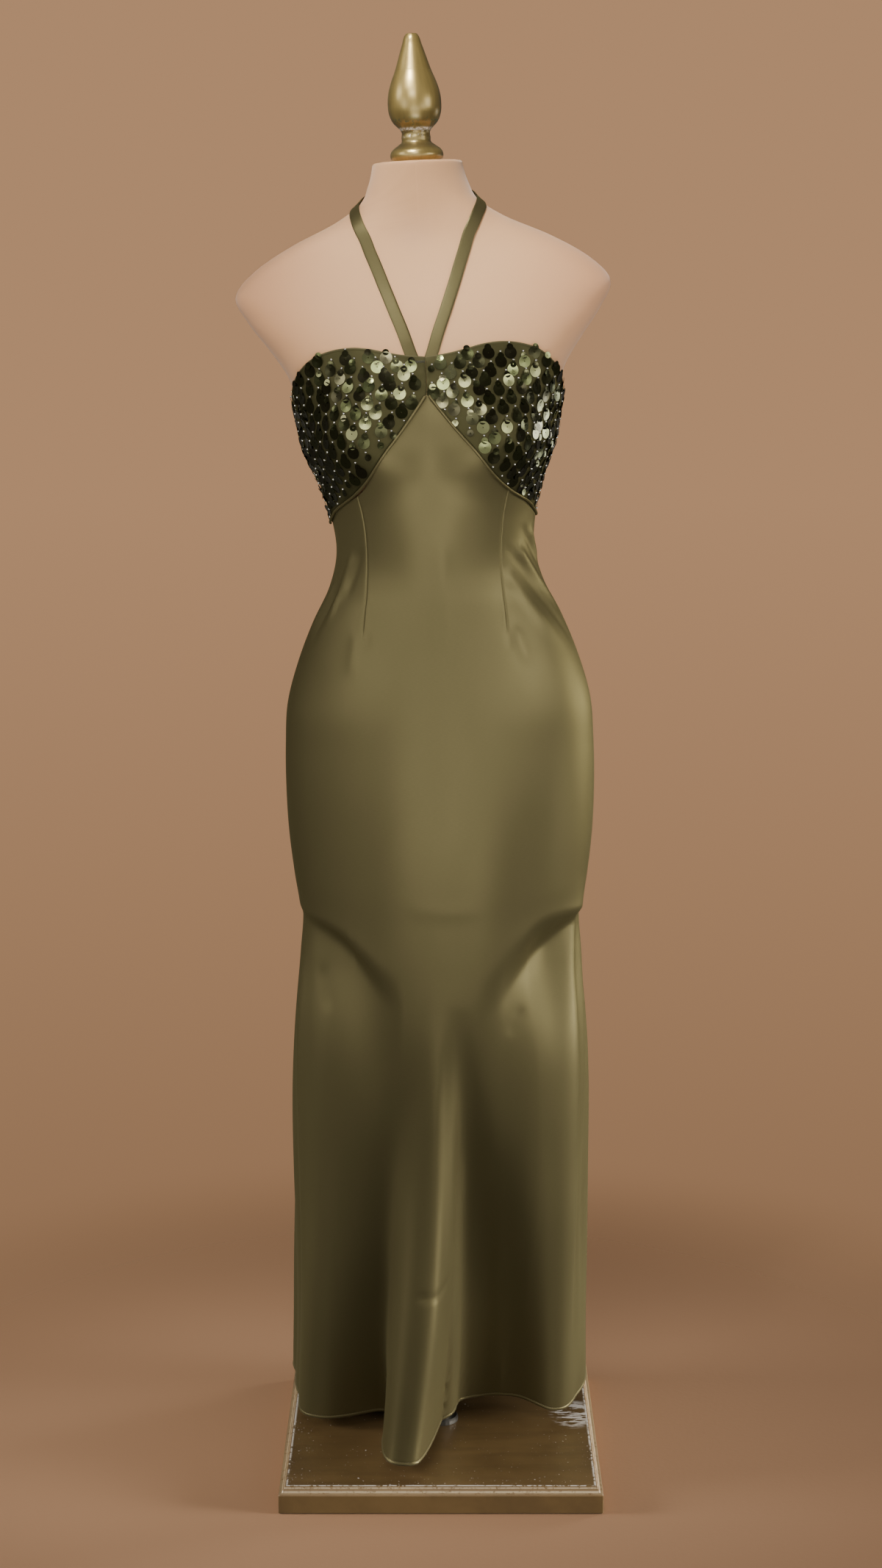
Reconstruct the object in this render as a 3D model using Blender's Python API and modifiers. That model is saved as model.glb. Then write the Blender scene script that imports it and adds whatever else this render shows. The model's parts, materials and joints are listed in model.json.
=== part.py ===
"""Halter evening gown on a limbless dress form with a turned finial and a square base board.

The gown faces -Y, the wearer's left is +X and +Z is up. The origin is the middle of the
base board's underside. All sizes are in metres.

The body is one smooth surface, read from SECTIONS by an angle about the section's own middle
(0 is the centre front, positive towards +X) and a height. The form is that surface, and every
piece of cloth is a wall laid on it at a lift. Below the form the same table gives the skirt.
"""
import math

import bmesh
import bpy
import numpy

OBJECT_NAME = "evening_gown_on_dress_form"

# Cloth and clearances
WALL = 0.0016
REST_GAP = 0.0009
SEAM_GAP = 0.0003
PART_GAP = 0.0003
FORM_INSET = 0.0003
OUTSIDE = REST_GAP + WALL
# Half a seam's gap, measured upright where the seam runs at a slant
SLANT_GAP = 0.75 * SEAM_GAP

# The body upright, from the hem to the neck: the rows from FORM_BOTTOM up are the form's too.
# height, half_width, middle_y, front_depth, back_depth, squareness
SECTIONS = (
    (0.035, 0.1725, 0.082, 0.106, 0.081, 2.60),
    (0.120, 0.1700, 0.068, 0.112, 0.092, 2.50),
    (0.230, 0.1690, 0.050, 0.114, 0.106, 2.40),
    (0.340, 0.1685, 0.034, 0.114, 0.112, 2.32),
    (0.440, 0.1668, 0.020, 0.113, 0.114, 2.26),
    (0.530, 0.1628, 0.008, 0.112, 0.115, 2.20),
    (0.600, 0.1584, 0.002, 0.110, 0.115, 2.16),
    (0.650, 0.1562, 0.000, 0.110, 0.116, 2.14),
    (0.690, 0.1620, 0.000, 0.112, 0.119, 2.12),
    (0.740, 0.1675, 0.000, 0.114, 0.124, 2.10),
    (0.790, 0.1695, 0.000, 0.115, 0.128, 2.10),
    (0.840, 0.1688, 0.000, 0.114, 0.130, 2.10),
    (0.885, 0.1655, 0.000, 0.112, 0.126, 2.10),
    (0.930, 0.1530, 0.000, 0.107, 0.115, 2.10),
    (0.975, 0.1350, 0.000, 0.099, 0.101, 2.10),
    (1.015, 0.1150, 0.000, 0.091, 0.089, 2.10),
    (1.052, 0.1058, 0.000, 0.086, 0.083, 2.10),
    (1.090, 0.1090, 0.000, 0.087, 0.083, 2.10),
    (1.130, 0.1195, 0.000, 0.093, 0.088, 2.15),
    (1.170, 0.1350, 0.000, 0.100, 0.095, 2.20),
    (1.210, 0.1425, 0.001, 0.101, 0.101, 2.25),
    (1.245, 0.1500, 0.003, 0.098, 0.103, 2.35),
    (1.275, 0.1690, 0.005, 0.090, 0.100, 2.45),
    (1.305, 0.1905, 0.007, 0.078, 0.092, 2.50),
    (1.335, 0.2025, 0.009, 0.066, 0.080, 2.45),
    (1.360, 0.1800, 0.009, 0.058, 0.069, 2.30),
    (1.385, 0.1380, 0.008, 0.053, 0.063, 2.10),
    (1.407, 0.0900, 0.006, 0.051, 0.057, 2.00),
    (1.425, 0.0635, 0.004, 0.049, 0.053, 2.00),
    (1.443, 0.0540, 0.003, 0.048, 0.050, 2.00),
    (1.456, 0.0500, 0.002, 0.048, 0.049, 2.00),
    (1.466, 0.0480, 0.001, 0.048, 0.048, 2.00),
)
FORM_BOTTOM = 0.660
NECK_TOP = 1.466
NECK_MIDDLE_Y = 0.001
# The steps of angle and height over which a slope of the surface is taken
SLOPE_TURN = 0.004
SLOPE_RISE = 0.0010

# The two soft mounds of the bust, added outwards
BUST_ANGLE = math.radians(33.0)
BUST_SPREAD = math.radians(24.0)
BUST_HEIGHT = 1.172
BUST_RISE = 0.062
BUST_FALL = 0.044
BUST_DEPTH = 0.027

# Where the gown stands a little off the body. Angles and half angles are in degrees.
# angle, height, half_angle, half_height, lift
EASE = (
    (0.0, 1.170, 34.0, 0.075, 0.0036),
    (28.0, 1.145, 26.0, 0.040, 0.0014),
    (-28.0, 1.145, 26.0, 0.040, 0.0014),
    (64.0, 1.236, 24.0, 0.030, 0.0012),
    (-64.0, 1.236, 24.0, 0.030, 0.0012),
    (180.0, 1.060, 50.0, 0.070, 0.0020),
)

# The form leans to the wearer's right above the hips
LEAN = 0.045
LEAN_START = 0.700
LEAN_RUN = 0.400

# The skirt's folds, which grow from a height down to the hem. Angles are in degrees, and skew is
# the share by which a fold is wider at the hem towards -X, and narrower towards +X.
# start_height, angle_at_start, angle_at_hem, half_width_at_start, half_width_at_hem, skew,
# depth, flat
SKIRT_FOLDS = (
    (0.560, 1.0, -9.0, 26.0, 16.0, 0.36, 0.110, 0.12),
    (0.600, 2.0, -5.0, 34.0, 30.0, 0.00, 0.015, 0.00),
    (0.600, 52.0, 54.0, 22.0, 18.0, 0.00, 0.017, 0.10),
    (0.600, -52.0, -54.0, 24.0, 22.0, 0.00, 0.029, 0.10),
    (0.580, -112.0, -114.0, 22.0, 20.0, 0.00, 0.028, 0.10),
    (0.580, 118.0, 114.0, 22.0, 19.0, 0.00, 0.023, 0.10),
    (0.540, -150.0, -154.0, 20.0, 16.0, 0.00, 0.015, 0.10),
    (0.560, 152.0, 154.0, 20.0, 17.0, 0.00, 0.018, 0.10),
)
FOLD_GROWTH = 1.25
# The hem dips where the skirt stands out and rises between the folds: angle, height
HEM_LINE = (
    (-180.0, 0.047),
    (-150.0, 0.044),
    (-132.0, 0.047),
    (-112.0, 0.044),
    (-85.0, 0.046),
    (-56.0, 0.043),
    (-34.0, 0.051),
    (-9.0, 0.043),
    (6.0, 0.055),
    (24.0, 0.066),
    (40.0, 0.061),
    (54.0, 0.045),
    (69.0, 0.050),
    (80.0, 0.057),
    (92.0, 0.056),
    (114.0, 0.046),
    (133.0, 0.047),
    (154.0, 0.044),
    (180.0, 0.047),
)
HEM_LOWEST = 0.043
# Columns follow the cloth's own width up to the first height, and the angle from the second
GRAIN_BLEND_START = 0.600
FOLDS_TOP = 0.780
ARC_SAMPLES = 361
ARC_LEVELS = 37
# How much closer the rows of a skirt panel lie on the hips than at the hem
ROW_CROWDING = 0.40

# Seam lines read by angle, in degrees, for the wearer's left half. The right half mirrors them.
SIDE_SEAM = math.radians(90.0)
CENTRE_BACK = math.radians(180.0)
# angle, height of the seam under the cups and round the back
UNDER_SEAM = (
    (0.0, 1.2250),
    (10.0, 1.2000),
    (20.0, 1.1725),
    (30.0, 1.1475),
    (42.0, 1.1280),
    (53.0, 1.1160),
    (64.0, 1.1060),
    (76.0, 1.0945),
    (90.0, 1.0860),
    (135.0, 1.0770),
    (180.0, 1.0730),
)
# angle, height of the top edge
TOP_EDGE = (
    (0.0, 1.2625),
    (12.0, 1.2645),
    (24.0, 1.2685),
    (34.0, 1.2730),
    (43.0, 1.2747),
    (51.0, 1.2725),
    (58.0, 1.2665),
    (66.0, 1.2535),
    (76.0, 1.2360),
    (90.0, 1.2160),
    (115.0, 1.1990),
    (150.0, 1.1790),
    (180.0, 1.1690),
)

# Straps: a path of angle, in degrees, and height over the chest and round the neck
STRAP_WIDTH = 0.0130
# Both straps lie this many degrees round from the centre, to the wearer's right
STRAP_SHIFT = -2.4
STRAP_PATH = (
    (6.2, 1.2640),
    (12.5, 1.2890),
    (21.5, 1.3157),
    (31.6, 1.3425),
    (41.7, 1.3694),
    (50.5, 1.3923),
    (64.0, 1.4110),
    (84.0, 1.4225),
    (112.0, 1.4310),
    (145.0, 1.4360),
    (179.6, 1.4370),
)
STRAP_STEPS = 26

PIPING_RADIUS = 0.0014
PIPING_STEPS = 26
# The cord stops this many degrees short of the centre and of the side seam
PIPING_ENDS = (1.4, 0.9)

ZIP_WIDTH = 0.0060
ZIP_THICKNESS = 0.0012
ZIP_FOOT = 0.870
ZIP_LIFT = 0.0007
ZIP_STEPS = 16

# Panel grids
FRONT_COLUMNS = 40
BACK_COLUMNS = 13
SKIRT_ROWS = 26
CUP_COLUMNS = 16
CUP_ROWS = 11
BAND_COLUMNS = 8
BAND_ROWS = 6
FORM_SIDES = 28
# to_height, rings
FORM_RINGS = (
    (1.100, 18),
    (1.310, 11),
    (1.400, 9),
    (1.466, 7),
)

# Stand
BOARD_TOP = 0.030
# half_size, height round the moulded edge of the board, from the underside up
BOARD_EDGE = (
    (0.1785, 0.0000),
    (0.1800, 0.0015),
    (0.1800, 0.0215),
    (0.1790, 0.0232),
    (0.1765, 0.0236),
    (0.1752, 0.0262),
    (0.1730, 0.0292),
    (0.1712, 0.0300),
)
POLE_RADIUS = 0.0125
FLANGE_RADIUS = 0.0200
FLANGE_HEIGHT = 0.0060
FLANGE_BEVEL = 0.0015
ROUND_SIDES = 24

# Finial, turned: radius, height above the neck's top
FINIAL_PROFILE = (
    (0.0255, 0.0000),
    (0.0278, 0.0035),
    (0.0283, 0.0080),
    (0.0256, 0.0130),
    (0.0196, 0.0174),
    (0.0160, 0.0205),
    (0.0156, 0.0250),
    (0.0154, 0.0310),
    (0.0184, 0.0352),
    (0.0231, 0.0400),
    (0.0274, 0.0490),
    (0.0286, 0.0605),
    (0.0274, 0.0718),
    (0.0247, 0.0812),
    (0.0194, 0.0945),
    (0.0149, 0.1080),
    (0.0104, 0.1215),
    (0.0069, 0.1308),
    (0.0058, 0.1322),
)

SATIN = ("olive_satin", (0.185, 0.145, 0.062), 0.42, 0.0)
SEQUIN_GROUND = ("sequin_ground_satin", (0.110, 0.095, 0.040), 0.45, 0.0)
JERSEY = ("form_jersey", (0.68, 0.46, 0.32), 0.85, 0.0)
GOLD_PAINT = ("worn_gold_paint", (0.30, 0.20, 0.08), 0.45, 0.6)
BOARD_PAINT = ("bronze_board_paint", (0.080, 0.042, 0.016), 0.55, 0.2)
STEEL = ("pole_steel", (0.40, 0.39, 0.37), 0.35, 0.9)


def clear_scene():
    for item in list(bpy.data.objects):
        bpy.data.objects.remove(item, do_unlink=True)


def make_collection():
    collection = bpy.data.collections.new(OBJECT_NAME)
    bpy.context.scene.collection.children.link(collection)
    return collection


def make_material(finish):
    name, colour, roughness, metallic = finish
    material = bpy.data.materials.get(name)
    if material is None:
        material = bpy.data.materials.new(name)
        material.use_nodes = True
        shader = material.node_tree.nodes["Principled BSDF"]
        shader.inputs["Base Color"].default_value = (*colour, 1.0)
        shader.inputs["Roughness"].default_value = roughness
        shader.inputs["Metallic"].default_value = metallic
    return material


def add_object(collection, name, mesh, finish, sharp_degrees=40.0):
    mesh.materials.append(make_material(finish))
    mesh.shade_smooth()
    mesh.set_sharp_from_angle(angle=math.radians(sharp_degrees))
    item = bpy.data.objects.new(name, mesh)
    collection.objects.link(item)
    return item


def read_table(rows, where):
    """Every column of a table but the first, on a smooth curve through its rows."""
    table = numpy.array(rows)
    knots = table[:, 0]
    values = table[:, 1:]
    slopes = numpy.gradient(values, knots, axis=0)
    where = numpy.clip(where, knots[0], knots[-1])
    span = numpy.clip(numpy.searchsorted(knots, where, side="right") - 1, 0, len(knots) - 2)
    width = (knots[span + 1] - knots[span])[..., None]
    share = (where - knots[span])[..., None] / width
    rising = share * share * (3.0 - 2.0 * share)
    leaving = share * (1.0 - share) ** 2 * width
    arriving = share * share * (share - 1.0) * width
    level = values[span] * (1.0 - rising) + values[span + 1] * rising
    return numpy.moveaxis(level + slopes[span] * leaving + slopes[span + 1] * arriving, -1, 0)


def ease_in_out(share):
    share = numpy.clip(share, 0.0, 1.0)
    return share * share * (3.0 - 2.0 * share)


def angle_between(angle, other):
    return (angle - other + math.pi) % math.tau - math.pi


def bust_mounds(angle, height):
    spread = numpy.where(height > BUST_HEIGHT, BUST_RISE, BUST_FALL)
    upright = ((height - BUST_HEIGHT) / spread) ** 2
    mounds = numpy.zeros_like(angle)
    for side in (-1.0, 1.0):
        sideways = (angle_between(angle, side * BUST_ANGLE) / BUST_SPREAD) ** 2
        mounds = mounds + numpy.exp(-upright - sideways)
    return BUST_DEPTH * mounds


def skirt_folds(angle, height):
    depth = numpy.zeros_like(angle)
    for start, angle_top, angle_hem, width_top, width_hem, skew, fold_depth, flat in SKIRT_FOLDS:
        share = numpy.clip((start - height) / (start - HEM_LOWEST), 0.0, 1.1)
        middle = numpy.radians(angle_top + (angle_hem - angle_top) * share)
        width = numpy.radians(width_top + (width_hem - width_top) * share)
        away = angle_between(angle, middle)
        width = width * (1.0 - numpy.sign(away) * skew * share)
        shape = ease_in_out((1.0 - numpy.abs(away) / width) / (1.0 - flat))
        depth = depth + fold_depth * shape * share ** FOLD_GROWTH
    return depth


def ease(angle, height):
    """How far the cloth stands off the body beyond its rest gap."""
    lift = numpy.zeros_like(angle)
    for middle, level, half_angle, half_height, amount in EASE:
        sideways = angle_between(angle, math.radians(middle)) / math.radians(half_angle)
        upright = (height - level) / half_height
        lift = lift + amount * ease_in_out(1.0 - numpy.hypot(sideways, upright))
    return lift


def body_point(angle, height):
    """Points of the upright body's surface."""
    half, middle, front, back, square = read_table(SECTIONS, height)
    deep = numpy.where(numpy.cos(angle) > 0.0, front, back)
    across = numpy.abs(numpy.sin(angle)) / half
    along = numpy.abs(numpy.cos(angle)) / deep
    radius = (across ** square + along ** square) ** (-1.0 / square)
    radius = radius + bust_mounds(angle, height) + skirt_folds(angle, height)
    return numpy.stack((radius * numpy.sin(angle), middle - radius * numpy.cos(angle), height), -1)


def body_slopes(angle, height):
    """How a point of the surface moves with its angle and with its height."""
    by_angle = body_point(angle + SLOPE_TURN, height) - body_point(angle - SLOPE_TURN, height)
    by_height = body_point(angle, height + SLOPE_RISE) - body_point(angle, height - SLOPE_RISE)
    return by_angle / (2.0 * SLOPE_TURN), by_height / (2.0 * SLOPE_RISE)


def body_normal(angle, height):
    along, up = body_slopes(angle, height)
    normal = numpy.cross(along, up)
    return normal / numpy.linalg.norm(normal, axis=-1, keepdims=True)


def lean(points):
    """The upright body bent over to the wearer's right above the hips."""
    across, deep, height = points[..., 0], points[..., 1], points[..., 2]
    share = numpy.clip((height - LEAN_START) / LEAN_RUN, 0.0, 1.0)
    beyond = numpy.maximum(height - LEAN_START - LEAN_RUN, 0.0)
    shift = LEAN * (0.5 * LEAN_RUN * share * share + beyond)
    return numpy.stack((across - shift, deep, height + LEAN * share * across), -1)


def on_body(angle, height, lift):
    """Points at a lift off the leaning body's surface."""
    angle, height, lift = numpy.broadcast_arrays(angle, height, lift)
    upright = body_point(angle, height) + body_normal(angle, height) * lift[..., None]
    return lean(upright)


def on_gown(angle, height, lift):
    """Points at a lift off the body, on the gown's own shape."""
    angle, height, lift = numpy.broadcast_arrays(angle, height, lift)
    return on_body(angle, height, lift + ease(angle, height))


def under_seam(angle):
    return read_table(UNDER_SEAM, numpy.degrees(numpy.abs(angle)))[0]


def top_edge(angle):
    return read_table(TOP_EDGE, numpy.degrees(numpy.abs(angle)))[0]


def hem_line(angle):
    return read_table(HEM_LINE, numpy.degrees(angle))[0]


def cloth_angle(share, height, first, last):
    """The angle at a share of the cloth's own width between two seams.

    Low on the skirt the share runs along the folds, and on the form it runs by angle.
    """
    samples = numpy.linspace(first, last, ARC_SAMPLES)
    levels = numpy.linspace(HEM_LOWEST, FOLDS_TOP, ARC_LEVELS)
    by_length = []
    for level in levels:
        points = body_point(samples, numpy.full_like(samples, level))
        steps = numpy.linalg.norm(numpy.diff(points, axis=0), axis=1)
        length = numpy.concatenate(((0.0,), numpy.cumsum(steps)))
        by_length.append(numpy.interp(share, length / length[-1], samples))
    by_length = numpy.array(by_length)
    place = numpy.clip((height - levels[0]) / (levels[1] - levels[0]), 0.0, ARC_LEVELS - 1.001)
    lower = place.astype(int)
    beyond = place - lower
    column = numpy.arange(share.size)
    along = by_length[lower, column] * (1.0 - beyond) + by_length[lower + 1, column] * beyond
    blend = ease_in_out((height - GRAIN_BLEND_START) / (FOLDS_TOP - GRAIN_BLEND_START))
    return along * (1.0 - blend) + (first + (last - first) * share) * blend


def wall(collection, name, place, columns, rows, finish):
    """A closed cloth wall: a flat grid, doubled, with both faces laid where place puts them.

    place takes the shares across and up, and the depth into the wall, and gives the points.
    """
    work = bmesh.new()
    bmesh.ops.create_grid(work, x_segments=columns, y_segments=rows, size=0.5)
    bmesh.ops.triangulate(work, faces=work.faces[:], quad_method="FIXED")
    outer = list(work.verts)
    grown = bmesh.ops.extrude_face_region(work, geom=work.faces[:], use_keep_orig=True)
    inner = [item for item in grown["geom"] if isinstance(item, bmesh.types.BMVert)]
    for verts, depth in ((outer, 0.0), (inner, WALL)):
        flat = numpy.array([vert.co for vert in verts])
        placed = place(flat[:, 0] + 0.5, flat[:, 1] + 0.5, depth)
        for vert, point in zip(verts, placed):
            vert.co = point
    bmesh.ops.recalc_face_normals(work, faces=work.faces[:])
    mesh = bpy.data.meshes.new(name)
    work.to_mesh(mesh)
    work.free()
    return add_object(collection, name, mesh, finish)


def inset_angle(angle, height, side):
    """Half a seam gap, as an angle, at a seam that lies at this angle."""
    points = body_point(numpy.full_like(height, angle), height)
    middle = read_table(SECTIONS, height)[1]
    radius = numpy.hypot(points[..., 0], points[..., 1] - middle)
    return side * 0.5 * SEAM_GAP / radius


def skirt_panel(collection, name, first, last, columns, finish):
    """A panel from the hem to the seam under the bodice, between two upright seams."""
    def place(across, up, depth):
        rows = up * (1.0 + ROW_CROWDING * (1.0 - up))
        guess = numpy.full_like(across, HEM_LOWEST)
        foot = hem_line(cloth_angle(across, guess, first, last))
        head = under_seam(first + (last - first) * across) - SLANT_GAP
        height = foot + (head - foot) * rows
        angle = cloth_angle(across, height, first, last)
        trim_first = inset_angle(first, height, 1.0) * (1.0 - across)
        trim_last = inset_angle(last, height, -1.0) * across
        return on_gown(angle + trim_first + trim_last, height, OUTSIDE - depth)
    return wall(collection, name, place, columns, SKIRT_ROWS, finish)


def bodice_panel(collection, name, first, last, columns, rows, finish):
    """A panel from the seam under the bodice to the top edge, between two upright seams."""
    def place(across, up, depth):
        angle = first + (last - first) * across
        foot = under_seam(angle) + SLANT_GAP
        height = foot + (top_edge(angle) - foot) * up
        trim_first = inset_angle(first, height, 1.0) * (1.0 - across)
        trim_last = inset_angle(last, height, -1.0) * across
        return on_gown(angle + trim_first + trim_last, height, OUTSIDE - depth)
    return wall(collection, name, place, columns, rows, finish)


def tube(collection, name, points, radius, finish):
    """A round covered cord along a path, as a curve with closed ends."""
    curve = bpy.data.curves.new(name, "CURVE")
    curve.dimensions = "3D"
    curve.bevel_depth = radius
    curve.bevel_resolution = 1
    curve.use_fill_caps = True
    spline = curve.splines.new("POLY")
    spline.points.add(len(points) - 1)
    for knot, point in zip(spline.points, points):
        knot.co = (*point, 1.0)
    curve.materials.append(make_material(finish))
    item = bpy.data.objects.new(name, curve)
    collection.objects.link(item)
    return item


def piping(collection, name, side):
    """The covered cord in the seam between a cup and the front panel."""
    start, stop = (math.radians(end) for end in PIPING_ENDS)
    angle = numpy.linspace(start, SIDE_SEAM - stop, PIPING_STEPS) * side
    lift = OUTSIDE + PART_GAP + PIPING_RADIUS
    tube(collection, name, on_gown(angle, under_seam(angle), lift), PIPING_RADIUS, SATIN)


def band_on_path(collection, name, angle, height, width, lift, thickness, finish, foot=None):
    """A flat band along a path on the body, closed at both ends.

    foot, where given, takes angles and gives the line of heights that its lower end follows.
    """
    slopes = numpy.stack(body_slopes(angle, height), axis=-1)
    along = numpy.gradient(body_point(angle, height), axis=0)
    across = numpy.cross(along, body_normal(angle, height))
    across = across / numpy.linalg.norm(across, axis=1, keepdims=True) * 0.5 * width
    step = (numpy.linalg.pinv(slopes) @ across[..., None])[..., 0]
    corners = ((-1.0, thickness), (0.0, thickness), (1.0, thickness),
               (1.0, 0.0), (0.0, 0.0), (-1.0, 0.0))
    rings = []
    for side, out in corners:
        edge_angle = angle + step[:, 0] * side
        edge_height = height + step[:, 1] * side
        if foot is not None:
            edge_height[0] = foot(edge_angle[:1])[0] + PART_GAP
        rings.append(on_gown(edge_angle, edge_height, lift + out))
    rings = numpy.stack(rings, axis=1)
    return loft(collection, name, rings, finish)


def loft(collection, name, rings, finish, sharp_degrees=40.0):
    """A closed solid through rings of equal count, capped at both ends."""
    work = bmesh.new()
    made = [[work.verts.new(point) for point in ring] for ring in rings]
    for lower, upper in zip(made, made[1:]):
        count = len(lower)
        for corner in range(count):
            following = (corner + 1) % count
            work.faces.new((lower[corner], lower[following], upper[following], upper[corner]))
    work.faces.new(made[0][::-1])
    work.faces.new(made[-1])
    bmesh.ops.recalc_face_normals(work, faces=work.faces[:])
    mesh = bpy.data.meshes.new(name)
    work.to_mesh(mesh)
    work.free()
    return add_object(collection, name, mesh, finish, sharp_degrees)


def halter_strap(collection, name, side):
    """A flat folded strap from the centre front, over the chest and round behind the neck."""
    path = numpy.array(STRAP_PATH)
    length = numpy.linspace(0.0, 1.0, len(path))
    rows = numpy.column_stack((length, path))
    angle, height = read_table(rows, numpy.linspace(0.0, 1.0, STRAP_STEPS))
    band_on_path(collection, name, numpy.radians(angle * side + STRAP_SHIFT), height,
                 STRAP_WIDTH, REST_GAP, WALL, SATIN, top_edge)


def zip_strip(collection):
    """The closed concealed zip's covered strip, down the centre back."""
    head = top_edge(numpy.array([CENTRE_BACK]))[0] - PART_GAP
    height = numpy.linspace(ZIP_FOOT, head, ZIP_STEPS)
    angle = numpy.full_like(height, CENTRE_BACK)
    band_on_path(collection, "zip_strip", angle, height, ZIP_WIDTH,
                 OUTSIDE + ZIP_LIFT, ZIP_THICKNESS, SATIN)


def torso_form(collection):
    """The smooth jersey body, closed flat at the bottom and at the neck."""
    heights = [FORM_BOTTOM]
    for level, count in FORM_RINGS:
        heights.extend(numpy.linspace(heights[-1], level, count + 1)[1:])
    turns = numpy.arange(FORM_SIDES) * math.tau / FORM_SIDES
    rings = [on_body(turns, numpy.full_like(turns, height), -FORM_INSET) for height in heights]
    return loft(collection, "torso_form", rings, JERSEY, 60.0)


def turned(collection, name, profile, finish, foot):
    """A solid of revolution from a profile given from the top down its outer side."""
    mesh = bpy.data.meshes.new(name)
    points = [(0.0, 0.0, profile[0][1])]
    points += [(radius, 0.0, height) for radius, height in profile]
    points += [(0.0, 0.0, profile[-1][1])]
    mesh.from_pydata(points, [(index, index + 1) for index in range(len(points) - 1)], [])
    item = bpy.data.objects.new(name, mesh)
    collection.objects.link(item)
    item.location = foot
    screw = item.modifiers.new("Turn", "SCREW")
    screw.axis = "Z"
    screw.steps = ROUND_SIDES
    screw.render_steps = ROUND_SIDES
    screw.use_merge_vertices = True
    screw.merge_threshold = 0.00001
    mesh.materials.append(make_material(finish))
    return item


def neck_finial(collection):
    """The turned finial on the neck, leaning with the form."""
    foot = lean(numpy.array([0.0, NECK_MIDDLE_Y, NECK_TOP + PART_GAP]))
    item = turned(collection, "neck_finial", FINIAL_PROFILE[::-1], GOLD_PAINT, tuple(foot))
    item.rotation_euler = (0.0, -math.atan(LEAN), 0.0)
    return item


def stand(collection):
    flange_foot = BOARD_TOP + PART_GAP
    pole_foot = flange_foot + FLANGE_HEIGHT + PART_GAP
    pole_top = FORM_BOTTOM - PART_GAP
    flange = ((FLANGE_RADIUS - FLANGE_BEVEL, FLANGE_HEIGHT),
              (FLANGE_RADIUS, FLANGE_HEIGHT - FLANGE_BEVEL),
              (FLANGE_RADIUS, 0.0))
    pole = ((POLE_RADIUS, pole_top - pole_foot), (POLE_RADIUS, 0.0))
    turned(collection, "pole_flange", flange, STEEL, (0.0, 0.0, flange_foot))
    turned(collection, "stand_pole", pole, STEEL, (0.0, 0.0, pole_foot))


def base_board(collection):
    """The square board, with its two-step moulding round the top edge."""
    rings = []
    for half, height in BOARD_EDGE:
        rings.append([(-half, -half, height), (half, -half, height),
                      (half, half, height), (-half, half, height)])
    return loft(collection, "base_board", rings, BOARD_PAINT, 12.0)


def build():
    clear_scene()
    collection = make_collection()
    torso_form(collection)
    neck_finial(collection)
    stand(collection)
    base_board(collection)
    skirt_panel(collection, "front_panel", -SIDE_SEAM, SIDE_SEAM, FRONT_COLUMNS, SATIN)
    skirt_panel(collection, "back_panel_left", SIDE_SEAM, CENTRE_BACK, BACK_COLUMNS, SATIN)
    skirt_panel(collection, "back_panel_right", -CENTRE_BACK, -SIDE_SEAM, BACK_COLUMNS, SATIN)
    bodice_panel(collection, "cup_left", 0.0, SIDE_SEAM, CUP_COLUMNS, CUP_ROWS, SEQUIN_GROUND)
    bodice_panel(collection, "cup_right", -SIDE_SEAM, 0.0, CUP_COLUMNS, CUP_ROWS, SEQUIN_GROUND)
    bodice_panel(collection, "back_bodice_left", SIDE_SEAM, CENTRE_BACK,
                 BAND_COLUMNS, BAND_ROWS, SEQUIN_GROUND)
    bodice_panel(collection, "back_bodice_right", -CENTRE_BACK, -SIDE_SEAM,
                 BAND_COLUMNS, BAND_ROWS, SEQUIN_GROUND)
    piping(collection, "piping_left", 1.0)
    piping(collection, "piping_right", -1.0)
    halter_strap(collection, "halter_strap_left", 1.0)
    halter_strap(collection, "halter_strap_right", -1.0)
    zip_strip(collection)


build()
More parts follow.
